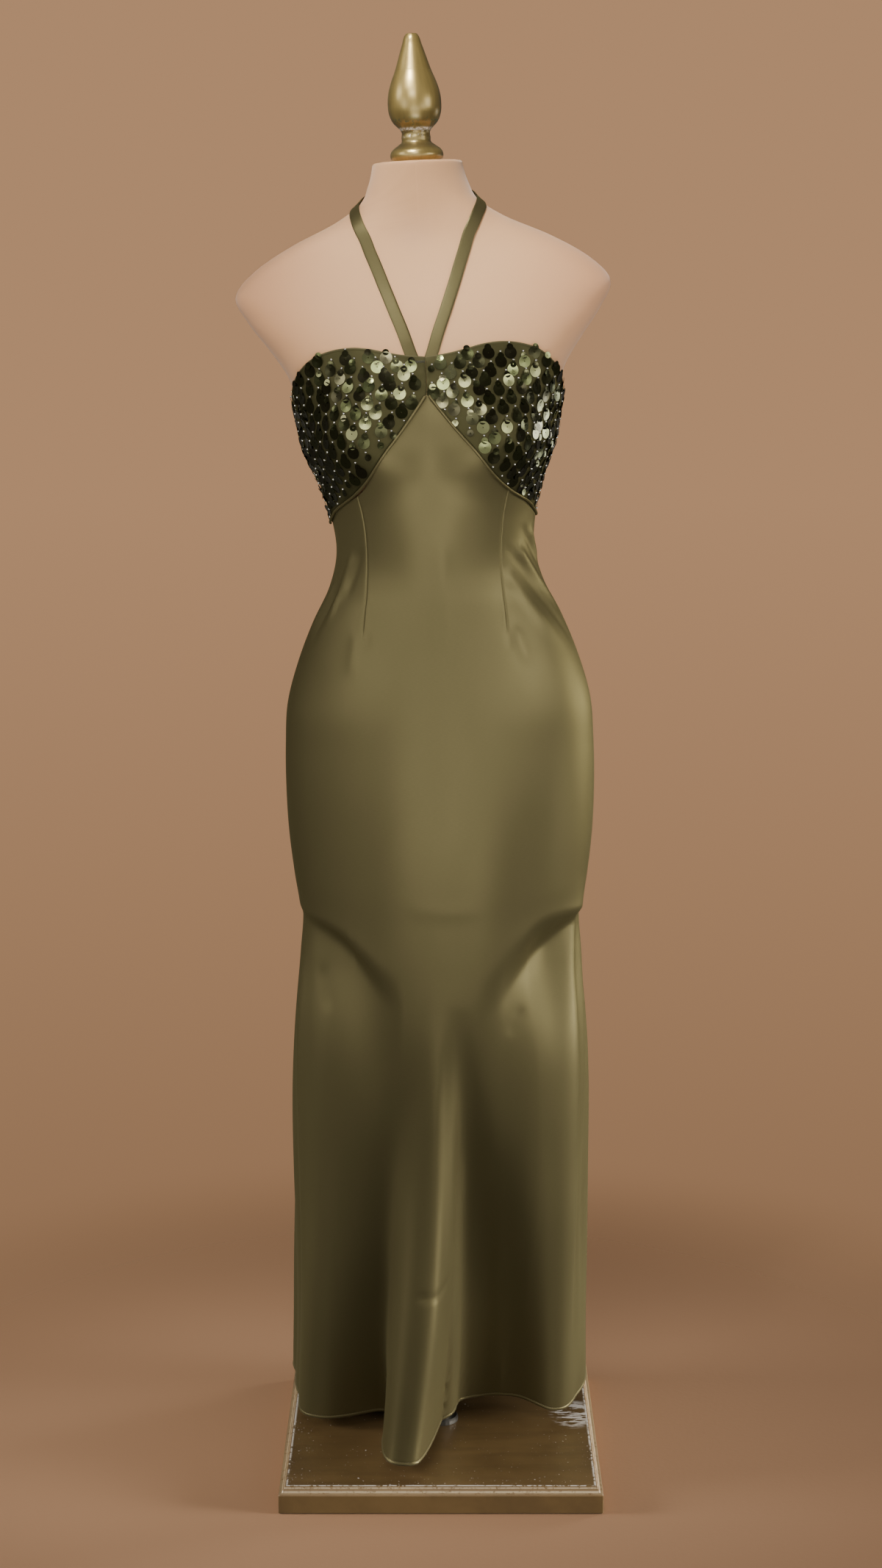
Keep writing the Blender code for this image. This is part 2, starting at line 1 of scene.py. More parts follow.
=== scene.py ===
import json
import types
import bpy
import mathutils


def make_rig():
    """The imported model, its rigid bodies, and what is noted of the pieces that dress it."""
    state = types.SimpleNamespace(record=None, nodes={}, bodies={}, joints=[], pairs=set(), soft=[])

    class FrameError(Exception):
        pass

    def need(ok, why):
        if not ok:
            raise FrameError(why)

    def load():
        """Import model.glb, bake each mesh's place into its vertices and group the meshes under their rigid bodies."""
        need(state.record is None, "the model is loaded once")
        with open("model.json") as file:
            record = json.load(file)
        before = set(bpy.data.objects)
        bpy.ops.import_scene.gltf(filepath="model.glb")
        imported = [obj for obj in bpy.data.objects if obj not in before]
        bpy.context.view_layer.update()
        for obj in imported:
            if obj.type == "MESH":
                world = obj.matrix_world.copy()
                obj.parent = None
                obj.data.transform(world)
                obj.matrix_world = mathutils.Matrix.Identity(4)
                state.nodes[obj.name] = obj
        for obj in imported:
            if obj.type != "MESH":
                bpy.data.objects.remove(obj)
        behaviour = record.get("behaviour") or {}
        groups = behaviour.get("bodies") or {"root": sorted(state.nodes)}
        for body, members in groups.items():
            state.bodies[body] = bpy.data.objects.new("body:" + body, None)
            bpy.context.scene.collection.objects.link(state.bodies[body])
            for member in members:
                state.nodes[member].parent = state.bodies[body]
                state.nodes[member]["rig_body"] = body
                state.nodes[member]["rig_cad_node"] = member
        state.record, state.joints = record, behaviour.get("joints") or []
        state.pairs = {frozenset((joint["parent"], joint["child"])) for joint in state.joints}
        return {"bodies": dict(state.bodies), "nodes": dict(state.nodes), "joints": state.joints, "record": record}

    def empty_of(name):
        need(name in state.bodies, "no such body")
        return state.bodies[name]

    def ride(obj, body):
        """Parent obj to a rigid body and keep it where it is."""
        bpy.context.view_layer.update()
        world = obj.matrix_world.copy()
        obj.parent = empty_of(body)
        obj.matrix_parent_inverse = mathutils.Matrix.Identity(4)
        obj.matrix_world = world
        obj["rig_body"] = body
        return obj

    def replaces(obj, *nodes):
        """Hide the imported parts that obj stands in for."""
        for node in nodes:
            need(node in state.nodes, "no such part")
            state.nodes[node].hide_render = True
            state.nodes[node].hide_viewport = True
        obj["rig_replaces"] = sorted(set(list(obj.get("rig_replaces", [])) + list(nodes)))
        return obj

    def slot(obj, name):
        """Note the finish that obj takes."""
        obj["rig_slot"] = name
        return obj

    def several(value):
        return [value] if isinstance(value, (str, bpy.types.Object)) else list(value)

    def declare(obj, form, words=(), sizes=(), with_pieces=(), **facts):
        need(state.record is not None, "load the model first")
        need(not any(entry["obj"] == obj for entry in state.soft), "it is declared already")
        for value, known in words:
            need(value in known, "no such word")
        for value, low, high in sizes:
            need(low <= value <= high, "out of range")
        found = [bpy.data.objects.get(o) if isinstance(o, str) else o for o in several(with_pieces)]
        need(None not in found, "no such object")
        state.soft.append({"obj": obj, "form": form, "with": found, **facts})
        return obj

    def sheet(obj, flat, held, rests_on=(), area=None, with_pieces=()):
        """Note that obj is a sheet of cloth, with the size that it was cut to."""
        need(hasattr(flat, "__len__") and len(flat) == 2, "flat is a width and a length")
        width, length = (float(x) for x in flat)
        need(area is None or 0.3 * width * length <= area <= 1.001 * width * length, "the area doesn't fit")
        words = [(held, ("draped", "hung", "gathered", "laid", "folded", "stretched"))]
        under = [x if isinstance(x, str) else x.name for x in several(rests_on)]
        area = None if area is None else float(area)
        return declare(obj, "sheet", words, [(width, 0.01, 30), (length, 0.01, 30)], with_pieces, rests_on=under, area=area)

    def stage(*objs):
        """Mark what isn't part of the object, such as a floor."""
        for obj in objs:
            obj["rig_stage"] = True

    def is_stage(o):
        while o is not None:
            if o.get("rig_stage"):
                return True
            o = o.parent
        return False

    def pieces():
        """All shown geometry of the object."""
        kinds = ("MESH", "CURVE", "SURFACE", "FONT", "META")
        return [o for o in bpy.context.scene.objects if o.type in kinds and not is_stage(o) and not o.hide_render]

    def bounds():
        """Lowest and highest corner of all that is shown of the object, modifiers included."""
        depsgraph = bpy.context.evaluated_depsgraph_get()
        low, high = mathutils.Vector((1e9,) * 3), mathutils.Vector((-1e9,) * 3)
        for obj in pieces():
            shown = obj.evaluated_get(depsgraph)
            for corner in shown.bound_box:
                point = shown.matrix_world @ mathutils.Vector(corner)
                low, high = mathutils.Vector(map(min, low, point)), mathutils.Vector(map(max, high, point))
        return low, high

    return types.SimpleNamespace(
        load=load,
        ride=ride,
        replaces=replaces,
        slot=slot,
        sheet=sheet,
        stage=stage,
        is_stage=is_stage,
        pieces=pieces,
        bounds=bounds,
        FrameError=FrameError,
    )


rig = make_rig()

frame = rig.load()
CAD_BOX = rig.bounds()

# Looks for the halter evening gown on its dress form: satin shells with their creases, darts and
# turned edges, a sequined bodice, the jersey form, the worn gold finial and the painted board.
# The gown faces -Y, the wearer's left is +X and +Z is up. All sizes are in metres.
import json
import math

import bmesh
import bpy
import numpy as np
from mathutils import Euler, Matrix, Vector

# The camera and its view, whose horizon lies HORIZON_PIXELS above the middle
VIEW_HEIGHT = 2134
FOCAL_PIXELS = 3500.0
HORIZON_PIXELS = 674.0
SENSOR = 36.0
CAMERA_PLACE = (0.0, -2.824, 1.333)
CAMERA_TILT = math.atan(HORIZON_PIXELS / FOCAL_PIXELS)
CAMERA_REACH = 50.0

# Walls and clearances of the solids
WALL = 0.0016
REST_GAP = 0.0009
SEAM_GAP = 0.0003
PART_GAP = 0.0003
FORM_INSET = 0.0003
OUTSIDE = REST_GAP + WALL
SLANT_GAP = 0.75 * SEAM_GAP
# The cloth of the shells, and the least that a groove leaves of it
CLOTH = 0.0009
THIN_CLOTH = 0.0006

# Sections of the body: height, half width, middle y, depth in front, depth behind, squareness
SECTIONS = (
    (0.035, 0.1725, 0.082, 0.106, 0.081, 2.60),
    (0.120, 0.1700, 0.068, 0.112, 0.092, 2.50),
    (0.230, 0.1690, 0.050, 0.114, 0.106, 2.40),
    (0.340, 0.1685, 0.034, 0.114, 0.112, 2.32),
    (0.440, 0.1668, 0.020, 0.113, 0.114, 2.26),
    (0.530, 0.1628, 0.008, 0.112, 0.115, 2.20),
    (0.600, 0.1584, 0.002, 0.110, 0.115, 2.16),
    (0.650, 0.1562, 0.000, 0.110, 0.116, 2.14),
    (0.690, 0.1620, 0.000, 0.112, 0.119, 2.12),
    (0.740, 0.1675, 0.000, 0.114, 0.124, 2.10),
    (0.790, 0.1695, 0.000, 0.115, 0.128, 2.10),
    (0.840, 0.1688, 0.000, 0.114, 0.130, 2.10),
    (0.885, 0.1655, 0.000, 0.112, 0.126, 2.10),
    (0.930, 0.1530, 0.000, 0.107, 0.115, 2.10),
    (0.975, 0.1350, 0.000, 0.099, 0.101, 2.10),
    (1.015, 0.1150, 0.000, 0.091, 0.089, 2.10),
    (1.052, 0.1058, 0.000, 0.086, 0.083, 2.10),
    (1.090, 0.1090, 0.000, 0.087, 0.083, 2.10),
    (1.130, 0.1195, 0.000, 0.093, 0.088, 2.15),
    (1.170, 0.1350, 0.000, 0.100, 0.095, 2.20),
    (1.210, 0.1425, 0.001, 0.101, 0.101, 2.25),
    (1.245, 0.1500, 0.003, 0.098, 0.103, 2.35),
    (1.275, 0.1690, 0.005, 0.090, 0.100, 2.45),
    (1.305, 0.1905, 0.007, 0.078, 0.092, 2.50),
    (1.335, 0.2025, 0.009, 0.066, 0.080, 2.45),
    (1.360, 0.1800, 0.009, 0.058, 0.069, 2.30),
    (1.385, 0.1380, 0.008, 0.053, 0.063, 2.10),
    (1.407, 0.0900, 0.006, 0.051, 0.057, 2.00),
    (1.425, 0.0635, 0.004, 0.049, 0.053, 2.00),
    (1.443, 0.0540, 0.003, 0.048, 0.050, 2.00),
    (1.456, 0.0500, 0.002, 0.048, 0.049, 2.00),
    (1.466, 0.0480, 0.001, 0.048, 0.048, 2.00),
)
FORM_BOTTOM = 0.660
NECK_TOP = 1.466
NECK_MIDDLE_Y = 0.001
# Half the steps in angle and in height over which the surface's slopes are measured
SLOPE_TURN = 0.004
SLOPE_RISE = 0.0010

# Each side of the bust is a round mound, which falls away faster below than above
BUST_ANGLE = math.radians(33.0)
BUST_SPREAD = math.radians(24.0)
BUST_HEIGHT = 1.172
BUST_RISE = 0.062
BUST_FALL = 0.044
BUST_DEPTH = 0.027

# Where the gown stands a little off the body: angle, height, half_angle, half_height, lift
EASE = (
    (0.0, 1.170, 34.0, 0.075, 0.0036),
    (28.0, 1.145, 26.0, 0.040, 0.0014),
    (-28.0, 1.145, 26.0, 0.040, 0.0014),
    (64.0, 1.236, 24.0, 0.030, 0.0012),
    (-64.0, 1.236, 24.0, 0.030, 0.0012),
    (180.0, 1.060, 50.0, 0.070, 0.0020),
)
# Between the bust and the waist the satin hangs straighter than the body: height, lift
BRIDGE = (
    (0.985, 0.0000), (1.010, 0.0008), (1.030, 0.0032), (1.050, 0.0068), (1.070, 0.0098),
    (1.090, 0.0114), (1.105, 0.0112), (1.120, 0.0090), (1.140, 0.0048), (1.160, 0.0012),
    (1.180, 0.0000),
)
BRIDGE_ANGLE = math.radians(60.0)

# The form leans to the wearer's right: its slope, the height where the lean starts, and over
# what height it comes in
LEAN = 0.045
LEAN_START = 0.700
LEAN_RUN = 0.400

# Folds of the skirt: start height, angle at the start, angle at the hem, half width at the start,
# half width at the hem, skew, depth, flat share of the crest
SKIRT_FOLDS = (
    (0.560, -1.5, -9.5, 26.0, 15.5, 0.42, 0.110, 0.12),
    (0.600, 2.0, -5.0, 34.0, 30.0, 0.00, 0.015, 0.00),
    (0.600, 52.0, 54.0, 22.0, 18.0, 0.00, 0.017, 0.10),
    (0.600, -52.0, -54.0, 24.0, 22.0, 0.00, 0.029, 0.10),
    (0.580, -112.0, -114.0, 22.0, 20.0, 0.00, 0.028, 0.10),
    (0.580, 118.0, 114.0, 22.0, 19.0, 0.00, 0.023, 0.10),
    (0.540, -150.0, -154.0, 20.0, 16.0, 0.00, 0.015, 0.10),
    (0.560, 152.0, 154.0, 20.0, 17.0, 0.00, 0.018, 0.10),
)
# How late each fold opens: the front one lies flat for longer and flares close to the hem
FOLD_GROWTHS = (2.1,) + (1.25,) * 7
# The hem: angle, height
HEM_LINE = (
    (-180.0, 0.047), (-150.0, 0.044), (-132.0, 0.047), (-112.0, 0.044), (-85.0, 0.046),
    (-56.0, 0.043), (-34.0, 0.051), (-9.0, 0.043), (6.0, 0.053), (16.0, 0.0460),
    (24.0, 0.0490), (32.0, 0.0550), (40.0, 0.0575), (54.0, 0.045), (69.0, 0.050),
    (80.0, 0.057), (92.0, 0.056), (114.0, 0.046), (133.0, 0.047), (154.0, 0.044), (180.0, 0.047),
)
HEM_LOWEST = 0.043
# Below GRAIN_BLEND_START the columns keep their shares of the cloth's width, and above FOLDS_TOP
# they keep their angles
GRAIN_BLEND_START = 0.600
FOLDS_TOP = 0.780
ARC_SAMPLES = 361
ARC_LEVELS = 37

SIDE_SEAM = math.radians(90.0)
CENTRE_BACK = math.radians(180.0)
# The seam under the bodice: angle, height
UNDER_SEAM = (
    (0.0, 1.2250), (10.0, 1.2000), (20.0, 1.1725), (30.0, 1.1475), (42.0, 1.1280),
    (53.0, 1.1160), (64.0, 1.1060), (76.0, 1.0945), (90.0, 1.0860), (135.0, 1.0770),
    (180.0, 1.0730),
)
# The bodice's top edge: angle, height
TOP_EDGE = (
    (0.0, 1.2625), (12.0, 1.2645), (24.0, 1.2685), (34.0, 1.2730), (43.0, 1.2747),
    (51.0, 1.2725), (58.0, 1.2665), (66.0, 1.2535), (76.0, 1.2360), (90.0, 1.2160),
    (115.0, 1.1990), (150.0, 1.1790), (180.0, 1.1690),
)

STRAP_WIDTH = 0.0130
STRAP_SHIFT = -2.4
# A strap's middle line from the tack to the back of the neck: angle, height
STRAP_PATH = (
    (6.2, 1.2640), (12.5, 1.2890), (21.5, 1.3157), (31.6, 1.3425), (41.7, 1.3694),
    (50.5, 1.3923), (64.0, 1.4110), (84.0, 1.4225), (112.0, 1.4310), (145.0, 1.4360),
    (179.6, 1.4370),
)
# A strap's end runs down inside the bodice by the tail and lies deeper by the sink. It comes up
# from the first of these heights above its first place, and over the second
STRAP_TAIL = 0.0065
STRAP_SINK = 0.0008
STRAP_SETTLE = (0.0015, 0.014)
# The folded strap: its middle layer's lift, its thickness above and below that, its crown, the
# depth and the share out from the middle of the line pressed along each edge, that line's spread,
# and the share of the half width that is flat
STRAP_MIDDLE = REST_GAP + 0.0006
STRAP_UPPER = 0.0007
STRAP_LOWER = 0.0006
STRAP_CROWN = 0.00012
STRAP_PRESS = 0.00016
PRESS_SHARE = 0.80
PRESS_SPREAD = 0.05
FLAT_SHARE = 0.86
# How strongly the edges of a strap or zip lip take the rim's grey
BAND_RIM = 0.35

PIPING_RADIUS = 0.0014
PIPING_ENDS = (1.4, 0.9)
# Unevenness of the piping: amount, turns of the wave in radians
PIPING_RIPPLES = ((0.00012, 60.0), (0.00008, 143.0))
ZIP_WIDTH = 0.0060
ZIP_THICKNESS = 0.0012
ZIP_FOOT = 0.870
ZIP_LIFT = 0.0007
ZIP_GROOVE = 0.0002
ZIP_BACK = 0.0003

# The bar tack, a zigzag behind the centre front
TACK_ENDS = (-8.6, -0.7)
TACK_TURNS = 46
TACK_HEIGHT = 1.2572
TACK_HALF = 0.0011
TACK_LIFT = 0.0008
TACK_RADIUS = 0.00030

# The finial: radius, height above the neck's top
FINIAL_PROFILE = (
    (0.0255, 0.0000), (0.0278, 0.0035), (0.0283, 0.0080), (0.0256, 0.0130),
    (0.0196, 0.0174), (0.0160, 0.0205), (0.0156, 0.0250), (0.0154, 0.0310),
    (0.0184, 0.0352), (0.0231, 0.0400), (0.0274, 0.0490), (0.0286, 0.0605),
    (0.0274, 0.0718), (0.0247, 0.0812), (0.0194, 0.0945), (0.0149, 0.1080),
    (0.0104, 0.1215), (0.0069, 0.1308), (0.0058, 0.1322),
)
FINIAL_GROOVES = (0.0195, 0.0335)
FINIAL_GROOVE_DEPTH = 0.0004
FINIAL_GROOVE_SPREAD = 0.0006
# The jersey turns over the neck's edge in a round of this radius
NECK_ROUND = 0.0030

# The board's moulding: half size, height from the underside up
BOARD_EDGE = (
    (0.1785, 0.0000), (0.1800, 0.0015), (0.1800, 0.0215), (0.1790, 0.0232),
    (0.1765, 0.0236), (0.1752, 0.0262), (0.1730, 0.0292), (0.1712, 0.0300),
)
BOARD_TOP = 0.0300
BOARD_CORNER = 0.0012

# Soft creases in the satin: a line through three places, each an angle and a height, then how far
# it stands out (a trough where negative), and how far it spreads to its right and to its left
CREASES = (
    # Front of the skirt
    (-24.0, 0.676, 2.0, 0.669, 26.0, 0.674, 0.0006, 0.0090, 0.0100),
    (-66.0, 0.600, -62.5, 0.572, -58.0, 0.540, -0.0009, 0.0040, 0.0060),
    (45.5, 0.557, 40.6, 0.539, 36.0, 0.520, -0.0009, 0.0060, 0.0060),
    (84.0, 0.690, 67.0, 0.480, 61.5, 0.040, 0.0085, 0.0240, 0.0085),
    (95.0, 0.620, 80.0, 0.440, 76.0, 0.060, -0.0045, 0.0080, 0.0120),
    (-82.0, 0.620, -74.0, 0.440, -68.0, 0.120, 0.0030, 0.0080, 0.0140),
    (-1.0, 0.560, -3.5, 0.320, -7.0, 0.060, 0.0060, 0.0220, 0.0085),
    (-22.0, 0.480, -27.0, 0.300, -31.0, 0.120, -0.0030, 0.0180, 0.0120),
    (-9.5, 0.2345, -3.0, 0.2290, 5.0, 0.2440, -0.0011, 0.0034, 0.0034),
    # Waist, wearer's right
    (-47.0, 1.068, -54.0, 1.038, -60.0, 1.006, -0.0017, 0.0036, 0.0042),
    (-55.0, 1.060, -62.5, 1.027, -69.0, 0.975, 0.0034, 0.0060, 0.0055),
    (-66.0, 1.026, -70.5, 0.995, -76.0, 0.950, -0.0016, 0.0036, 0.0036),
    (-74.0, 1.030, -78.0, 0.995, -84.0, 0.950, 0.0018, 0.0060, 0.0050),
    (-62.0, 1.018, -63.8, 1.002, -64.5, 0.984, -0.0009, 0.0030, 0.0030),
    # Waist, wearer's left
    (47.0, 1.060, 63.0, 1.022, 86.0, 0.938, -0.0022, 0.0042, 0.0040),
    (56.0, 1.058, 70.0, 1.030, 90.0, 0.972, 0.0034, 0.0060, 0.0060),
    (60.0, 1.082, 74.0, 1.055, 90.0, 1.024, -0.0018, 0.0038, 0.0038),
    (72.0, 1.078, 82.0, 1.058, 96.0, 1.030, 0.0022, 0.0055, 0.0055),
    (46.0, 1.034, 57.0, 1.004, 72.0, 0.940, 0.0022, 0.0090, 0.0070),
    # Centre front and the ends of the darts
    (6.5, 1.085, 4.6, 1.005, 3.0, 0.915, 0.0013, 0.0110, 0.0080),
    (-43.7, 0.9740, -41.2, 0.9660, -38.0, 0.9560, -0.0010, 0.0030, 0.0045),
    (-46.5, 0.9780, -46.5, 0.9540, -45.0, 0.9200, 0.0012, 0.0080, 0.0060),
    (41.8, 0.9740, 41.2, 0.9630, 40.6, 0.9500, -0.0011, 0.0030, 0.0045),
    (44.5, 0.9760, 46.5, 0.9560, 49.0, 0.9300, 0.0013, 0.0050, 0.0080),
    # Small of the back and back of the skirt
    (150.0, 1.048, 178.0, 1.030, 207.0, 1.046, -0.0011, 0.0040, 0.0050),
    (140.0, 1.030, 176.0, 1.008, 214.0, 1.026, 0.0022, 0.0070, 0.0070),
    (148.0, 1.004, 174.0, 0.988, 201.0, 1.000, -0.0010, 0.0050, 0.0040),
    (98.0, 1.052, 112.0, 1.022, 124.0, 0.975, 0.0020, 0.0060, 0.0060),
    (-97.0, 1.050, -109.0, 1.026, -119.0, 0.984, 0.0022, 0.0060, 0.0060),
    (116.0, 0.520, 114.0, 0.300, 112.5, 0.070, 0.0034, 0.0130, 0.0090),
    (-116.0, 0.500, -115.0, 0.280, -113.5, 0.070, 0.0036, 0.0090, 0.0150),
    (178.0, 0.560, 181.0, 0.330, 180.0, 0.080, -0.0040, 0.0160, 0.0160),
)
# Where the satin drops in under the form: angle, height of the drop's middle, depth, its rise
UNDER_FORM = (
    (-180.0, 0.590, 0.0000, 0.050), (-162.0, 0.590, 0.0000, 0.050),
    (-150.0, 0.604, 0.0040, 0.044), (-131.0, 0.636, 0.0090, 0.032),
    (-104.0, 0.648, 0.0060, 0.020), (-90.0, 0.650, 0.0030, 0.016),
    (-80.0, 0.648, 0.0045, 0.016), (-68.6, 0.6440, 0.0080, 0.018),
    (-60.2, 0.6380, 0.0140, 0.025), (-52.8, 0.6290, 0.0175, 0.029),
    (-42.3, 0.6060, 0.0160, 0.036), (-31.9, 0.5840, 0.0075, 0.042),
    (-22.0, 0.5700, 0.0000, 0.050), (0.0, 0.5600, 0.0000, 0.050),
    (18.0, 0.5600, 0.0000, 0.060), (26.0, 0.5720, 0.0028, 0.060),
    (31.8, 0.5840, 0.0060, 0.062), (37.4, 0.5990, 0.0110, 0.060),
    (45.2, 0.6170, 0.0170, 0.056), (52.2, 0.6300, 0.0220, 0.052),
    (63.0, 0.6390, 0.0230, 0.042), (72.0, 0.6460, 0.0160, 0.026),
    (80.0, 0.6510, 0.0060, 0.013), (90.0, 0.6520, 0.0030, 0.014),
    (104.0, 0.6480, 0.0060, 0.020), (131.0, 0.6360, 0.0090, 0.032),
    (150.0, 0.6040, 0.0040, 0.044), (164.0, 0.5900, 0.0000, 0.050),
    (180.0, 0.5900, 0.0000, 0.050),
)
UNDER_FORM_FADE = 0.095
# The valley beside the front fold, which opens towards the hem: height, angle, depth, its
# spread towards the fold, its spread towards the side
VALLEY = (
    (0.040, 18.0, 0.036, 0.016, 0.056),
    (0.150, 18.0, 0.036, 0.015, 0.054),
    (0.250, 17.5, 0.033, 0.014, 0.046),
    (0.350, 16.0, 0.022, 0.013, 0.034),
    (0.430, 13.5, 0.011, 0.012, 0.024),
    (0.500, 11.5, 0.004, 0.011, 0.018),
    (0.560, 10.0, 0.000, 0.010, 0.014),
)
CREASE_STEPS = 28
# The share of a crease over which it fades in and out, and the spreads past which it is not felt
CREASE_FADE = 0.30
CREASE_REACH = 3.0
# How deep a trough may be over the form, and how fast and from how far under the form's edge it
# may deepen
TROUGH_ROOM = 0.0013
FREE_SLOPE = 1.4
FREE_START = 0.004
# How far the satin wanders over long waves: turns, waves a metre up, phase, amount
WANDER = (
    (3.0, 1.3, 0.4, 0.00040),
    (5.0, -2.1, 1.9, 0.00035),
    (8.0, 1.7, 3.1, 0.00022),
    (13.0, -0.9, 5.2, 0.00014),
)
# Well below the form the satin wanders this many times as far, and over this height it gets there
WANDER_FREE = 3.0
WANDER_BLEND = 0.25

# Front darts: height, angle on the wearer's right, angle on the wearer's left
DARTS = (
    (0.960, -43.0, 41.0),
    (0.975, -43.6, 41.6),
    (1.000, -44.6, 43.2),
    (1.040, -45.3, 44.4),
    (1.080, -43.7, 44.5),
    (1.130, -41.4, 43.7),
)
# The darts' usual angles, how far to the side and from what height the columns bend towards them,
# and the end, taper, depth and spread of their stitched lines
DART_MIDDLE = (-44.0, 44.0)
DART_REACH = 12.0
DART_BLEND_START = 0.900
DART_END = 0.966
DART_TAPER = 0.012
DART_DEPTH = 0.0007
DART_SPREAD = 0.0008
# The soft ridge to each side of a front dart
RIDGE_HEIGHT = 0.0003
RIDGE_AWAY = 0.0022
RIDGE_SPREAD = 0.0016
BACK_DARTS = (-148.0, 148.0)
BACK_DART_END = 0.905

# Grids of the shells. Closer lines run along seams, hems and darts, and an even line is left out
# where it would lie nearer than CLEAR_STEP to one of these
MEAN_RADIUS = 0.125
CLEAR_STEP = 0.0022
FRONT_COLUMNS = 118
BACK_COLUMNS = 54
SKIRT_ROWS = 250
SKIRT_LENGTH = 1.10
EDGE_STEPS = (0.0004, 0.0009, 0.0016, 0.0027, 0.0040)
HEM_STEPS = (0.0004, 0.0009, 0.0014, 0.0019, 0.0024, 0.0029, 0.0034, 0.0040, 0.0050, 0.0070)
TOP_STEPS = HEM_STEPS[:8]
LINE_STEPS = (0.0003, 0.0006, 0.0010, 0.0016, 0.0026)
CUP_COLUMNS = 60
BAND_COLUMNS = 34
BODICE_ROWS = 46
BODICE_HEIGHT = 0.13
FORM_COLUMNS = 144
FORM_ROWS = 270
ROUND_SIDES = 96
STRAP_POINTS = 150
PIPING_POINTS = 130
ZIP_POINTS = 110
HEM_POINTS = 700

# Turned and seamed edges. A turned edge is a soft roll with a groove where it is stitched down
HEM_WIDTH = 0.0030
HEM_BULGE = 0.0006
HEM_HOLLOW = 0.6
HEM_RIM = 0.0016
HEM_GROOVE = 0.00025
TOP_BULGE = 0.0005
TOP_ROLL = 0.0012
TOP_RIM = 0.0011
TOP_STITCH = 0.0030
TOP_GROOVE = 0.0002
GROOVE_SPREAD = 0.0005
EDGE_TUCK = 0.0005
TUCK_SPREAD = 0.0011
# Puckers beside the seam between the cups
PUCKER_HEIGHT = 0.0005
PUCKER_REACH = 0.007
PUCKER_LENGTH = 0.011
# Hem stitches, which run STITCH_ABOVE over the hem's width
STITCH_ABOVE = 0.0005
STITCH_PITCH = 0.0030
STITCH_LENGTH = 0.0022
STITCH_RADIUS = 0.00018
STITCH_SINK = 0.0001

# Sequins: the large ones hang under a small one and a bead, in columns set half a step apart.
# The cup is a sequin's slope from its hole to its rim, and the tilt its random lean, in degrees
COLUMN_PITCH = 0.0128
GROUP_PITCH = 0.0188
LARGE_RADIUS = 0.0067
SMALL_RADIUS = 0.0036
BEAD_RADIUS = 0.00125
HOLE_RADIUS = 0.0006
SEQUIN_THICKNESS = 0.00022
SEQUIN_CUP = -2.0
RING_PITCH = 0.0011
SEQUIN_TILT = 6.0
SEQUIN_SEED = 11
LARGE, SMALL, BEAD = 0, 1, 2
# Each group from the top: kind, drop, share of the group's swing, lift off the cloth, room to the
# top edge, room to the seam below, room to the upright seams, tip in degrees
GROUP = (
    (BEAD, 0.0000, 0.0, 0.0010, 0.0006, 0.0028, 0.0014, 0.0),
    (SMALL, 0.0050, 1.0, 0.0016, -0.0012, 0.0040, 0.0026, -5.0),
    (LARGE, 0.0112, 1.0, 0.0009, 0.0030, 0.0068, 0.0052, 4.0),
)
# Heights between which the columns run, the height at which they are spaced, and how far before
# the last seam they end
SEQUIN_TOP = 1.292
SEQUIN_FOOT = 1.070
COLUMN_LEVEL = 1.185
COLUMN_END = 0.003
# How far chance moves a group sideways and up, and in radians how far it swings a group and spins
# each sequin, which also turns by a share of the swing
NUDGE_ACROSS = 0.0010
NUDGE_UP = 0.0008
GROUP_SWING = 0.30
SEQUIN_SPIN = 0.1
SWING_FOLLOWED = 0.8
# Past this angle, over these degrees, the sequins hang this much looser
LOOSE_START = 52.0
LOOSE_RUN = 22.0
LOOSE_MORE = 1.6

# Colours, linear
OLIVE = (0.126, 0.106, 0.049)
OLIVE_DEEP = (0.112, 0.094, 0.043)
# The straps' satin: the gown's olive darkened to about six tenths, as painted shade on the straps
STRAP_OLIVE_SHADED = (0.080, 0.068, 0.031)
STRAP_DEEP_SHADED = (0.070, 0.059, 0.027)
# The ground between the sequins: olive darkened as painted shade, for the shadow the sequins cast on it
GROUND_OLIVE_SHADED = (0.055, 0.050, 0.022)
GROUND_DEEP_SHADED = (0.044, 0.040, 0.017)
RIM_GREY = (0.130, 0.110, 0.062)
SATIN_GLOSS = (0.80, 0.70, 0.36)
SATIN_SHEEN = (0.75, 0.66, 0.32)
THREAD_OLIVE = (0.17, 0.14, 0.065)
THREAD_DARK = (0.020, 0.018, 0.010)
PAILLETTE = (0.085, 0.095, 0.038)
PAILLETTE_BROWN = (0.075, 0.068, 0.038)
SILVER = (0.72, 0.70, 0.64)
SILVER_DARK = (0.35, 0.33, 0.26)
JERSEY_PINK = (0.58, 0.322, 0.150)
JERSEY_CLOUD = (0.53, 0.297, 0.148)
JERSEY_ROSE = (0.56, 0.262, 0.126)
JERSEY_WALE = (0.52, 0.28, 0.15)
JERSEY_HOLLOW_SHADE = (0.46, 0.27, 0.17)
JERSEY_NECK_SHADE = (0.36, 0.185, 0.080)
JERSEY_SHEEN = (1.0, 0.85, 0.75)
GOLD = (0.37, 0.265, 0.085)
GOLD_DULL = (0.17, 0.135, 0.052)
GOLD_DARK = (0.115, 0.080, 0.028)
GREEN_RESIDUE = (0.050, 0.085, 0.040)
CHIP_WHITE = (0.66, 0.60, 0.52)
BOARD_BROWN = (0.130, 0.077, 0.028)
BOARD_BRONZE = (0.170, 0.105, 0.038)
BOARD_GRAIN = (0.060, 0.034, 0.013)
BOARD_GOLD = (0.26, 0.155, 0.058)
BOARD_GOLD_DEEP = (0.195, 0.114, 0.042)
CREAM = (0.68, 0.53, 0.33)
# The pole's steel is darkened as painted shade, for the dark under the skirt; the smudges are its own
STEEL = (0.150, 0.140, 0.120)
STEEL_SMUDGED_SHADED = (0.105, 0.098, 0.084)
FLOOR = (0.49, 0.278, 0.155)
BACKDROP = (0.482, 0.268, 0.141)
AMBIENT = (1.0, 0.92, 0.80)
LAMPLIGHT = (1.0, 0.99, 0.97)

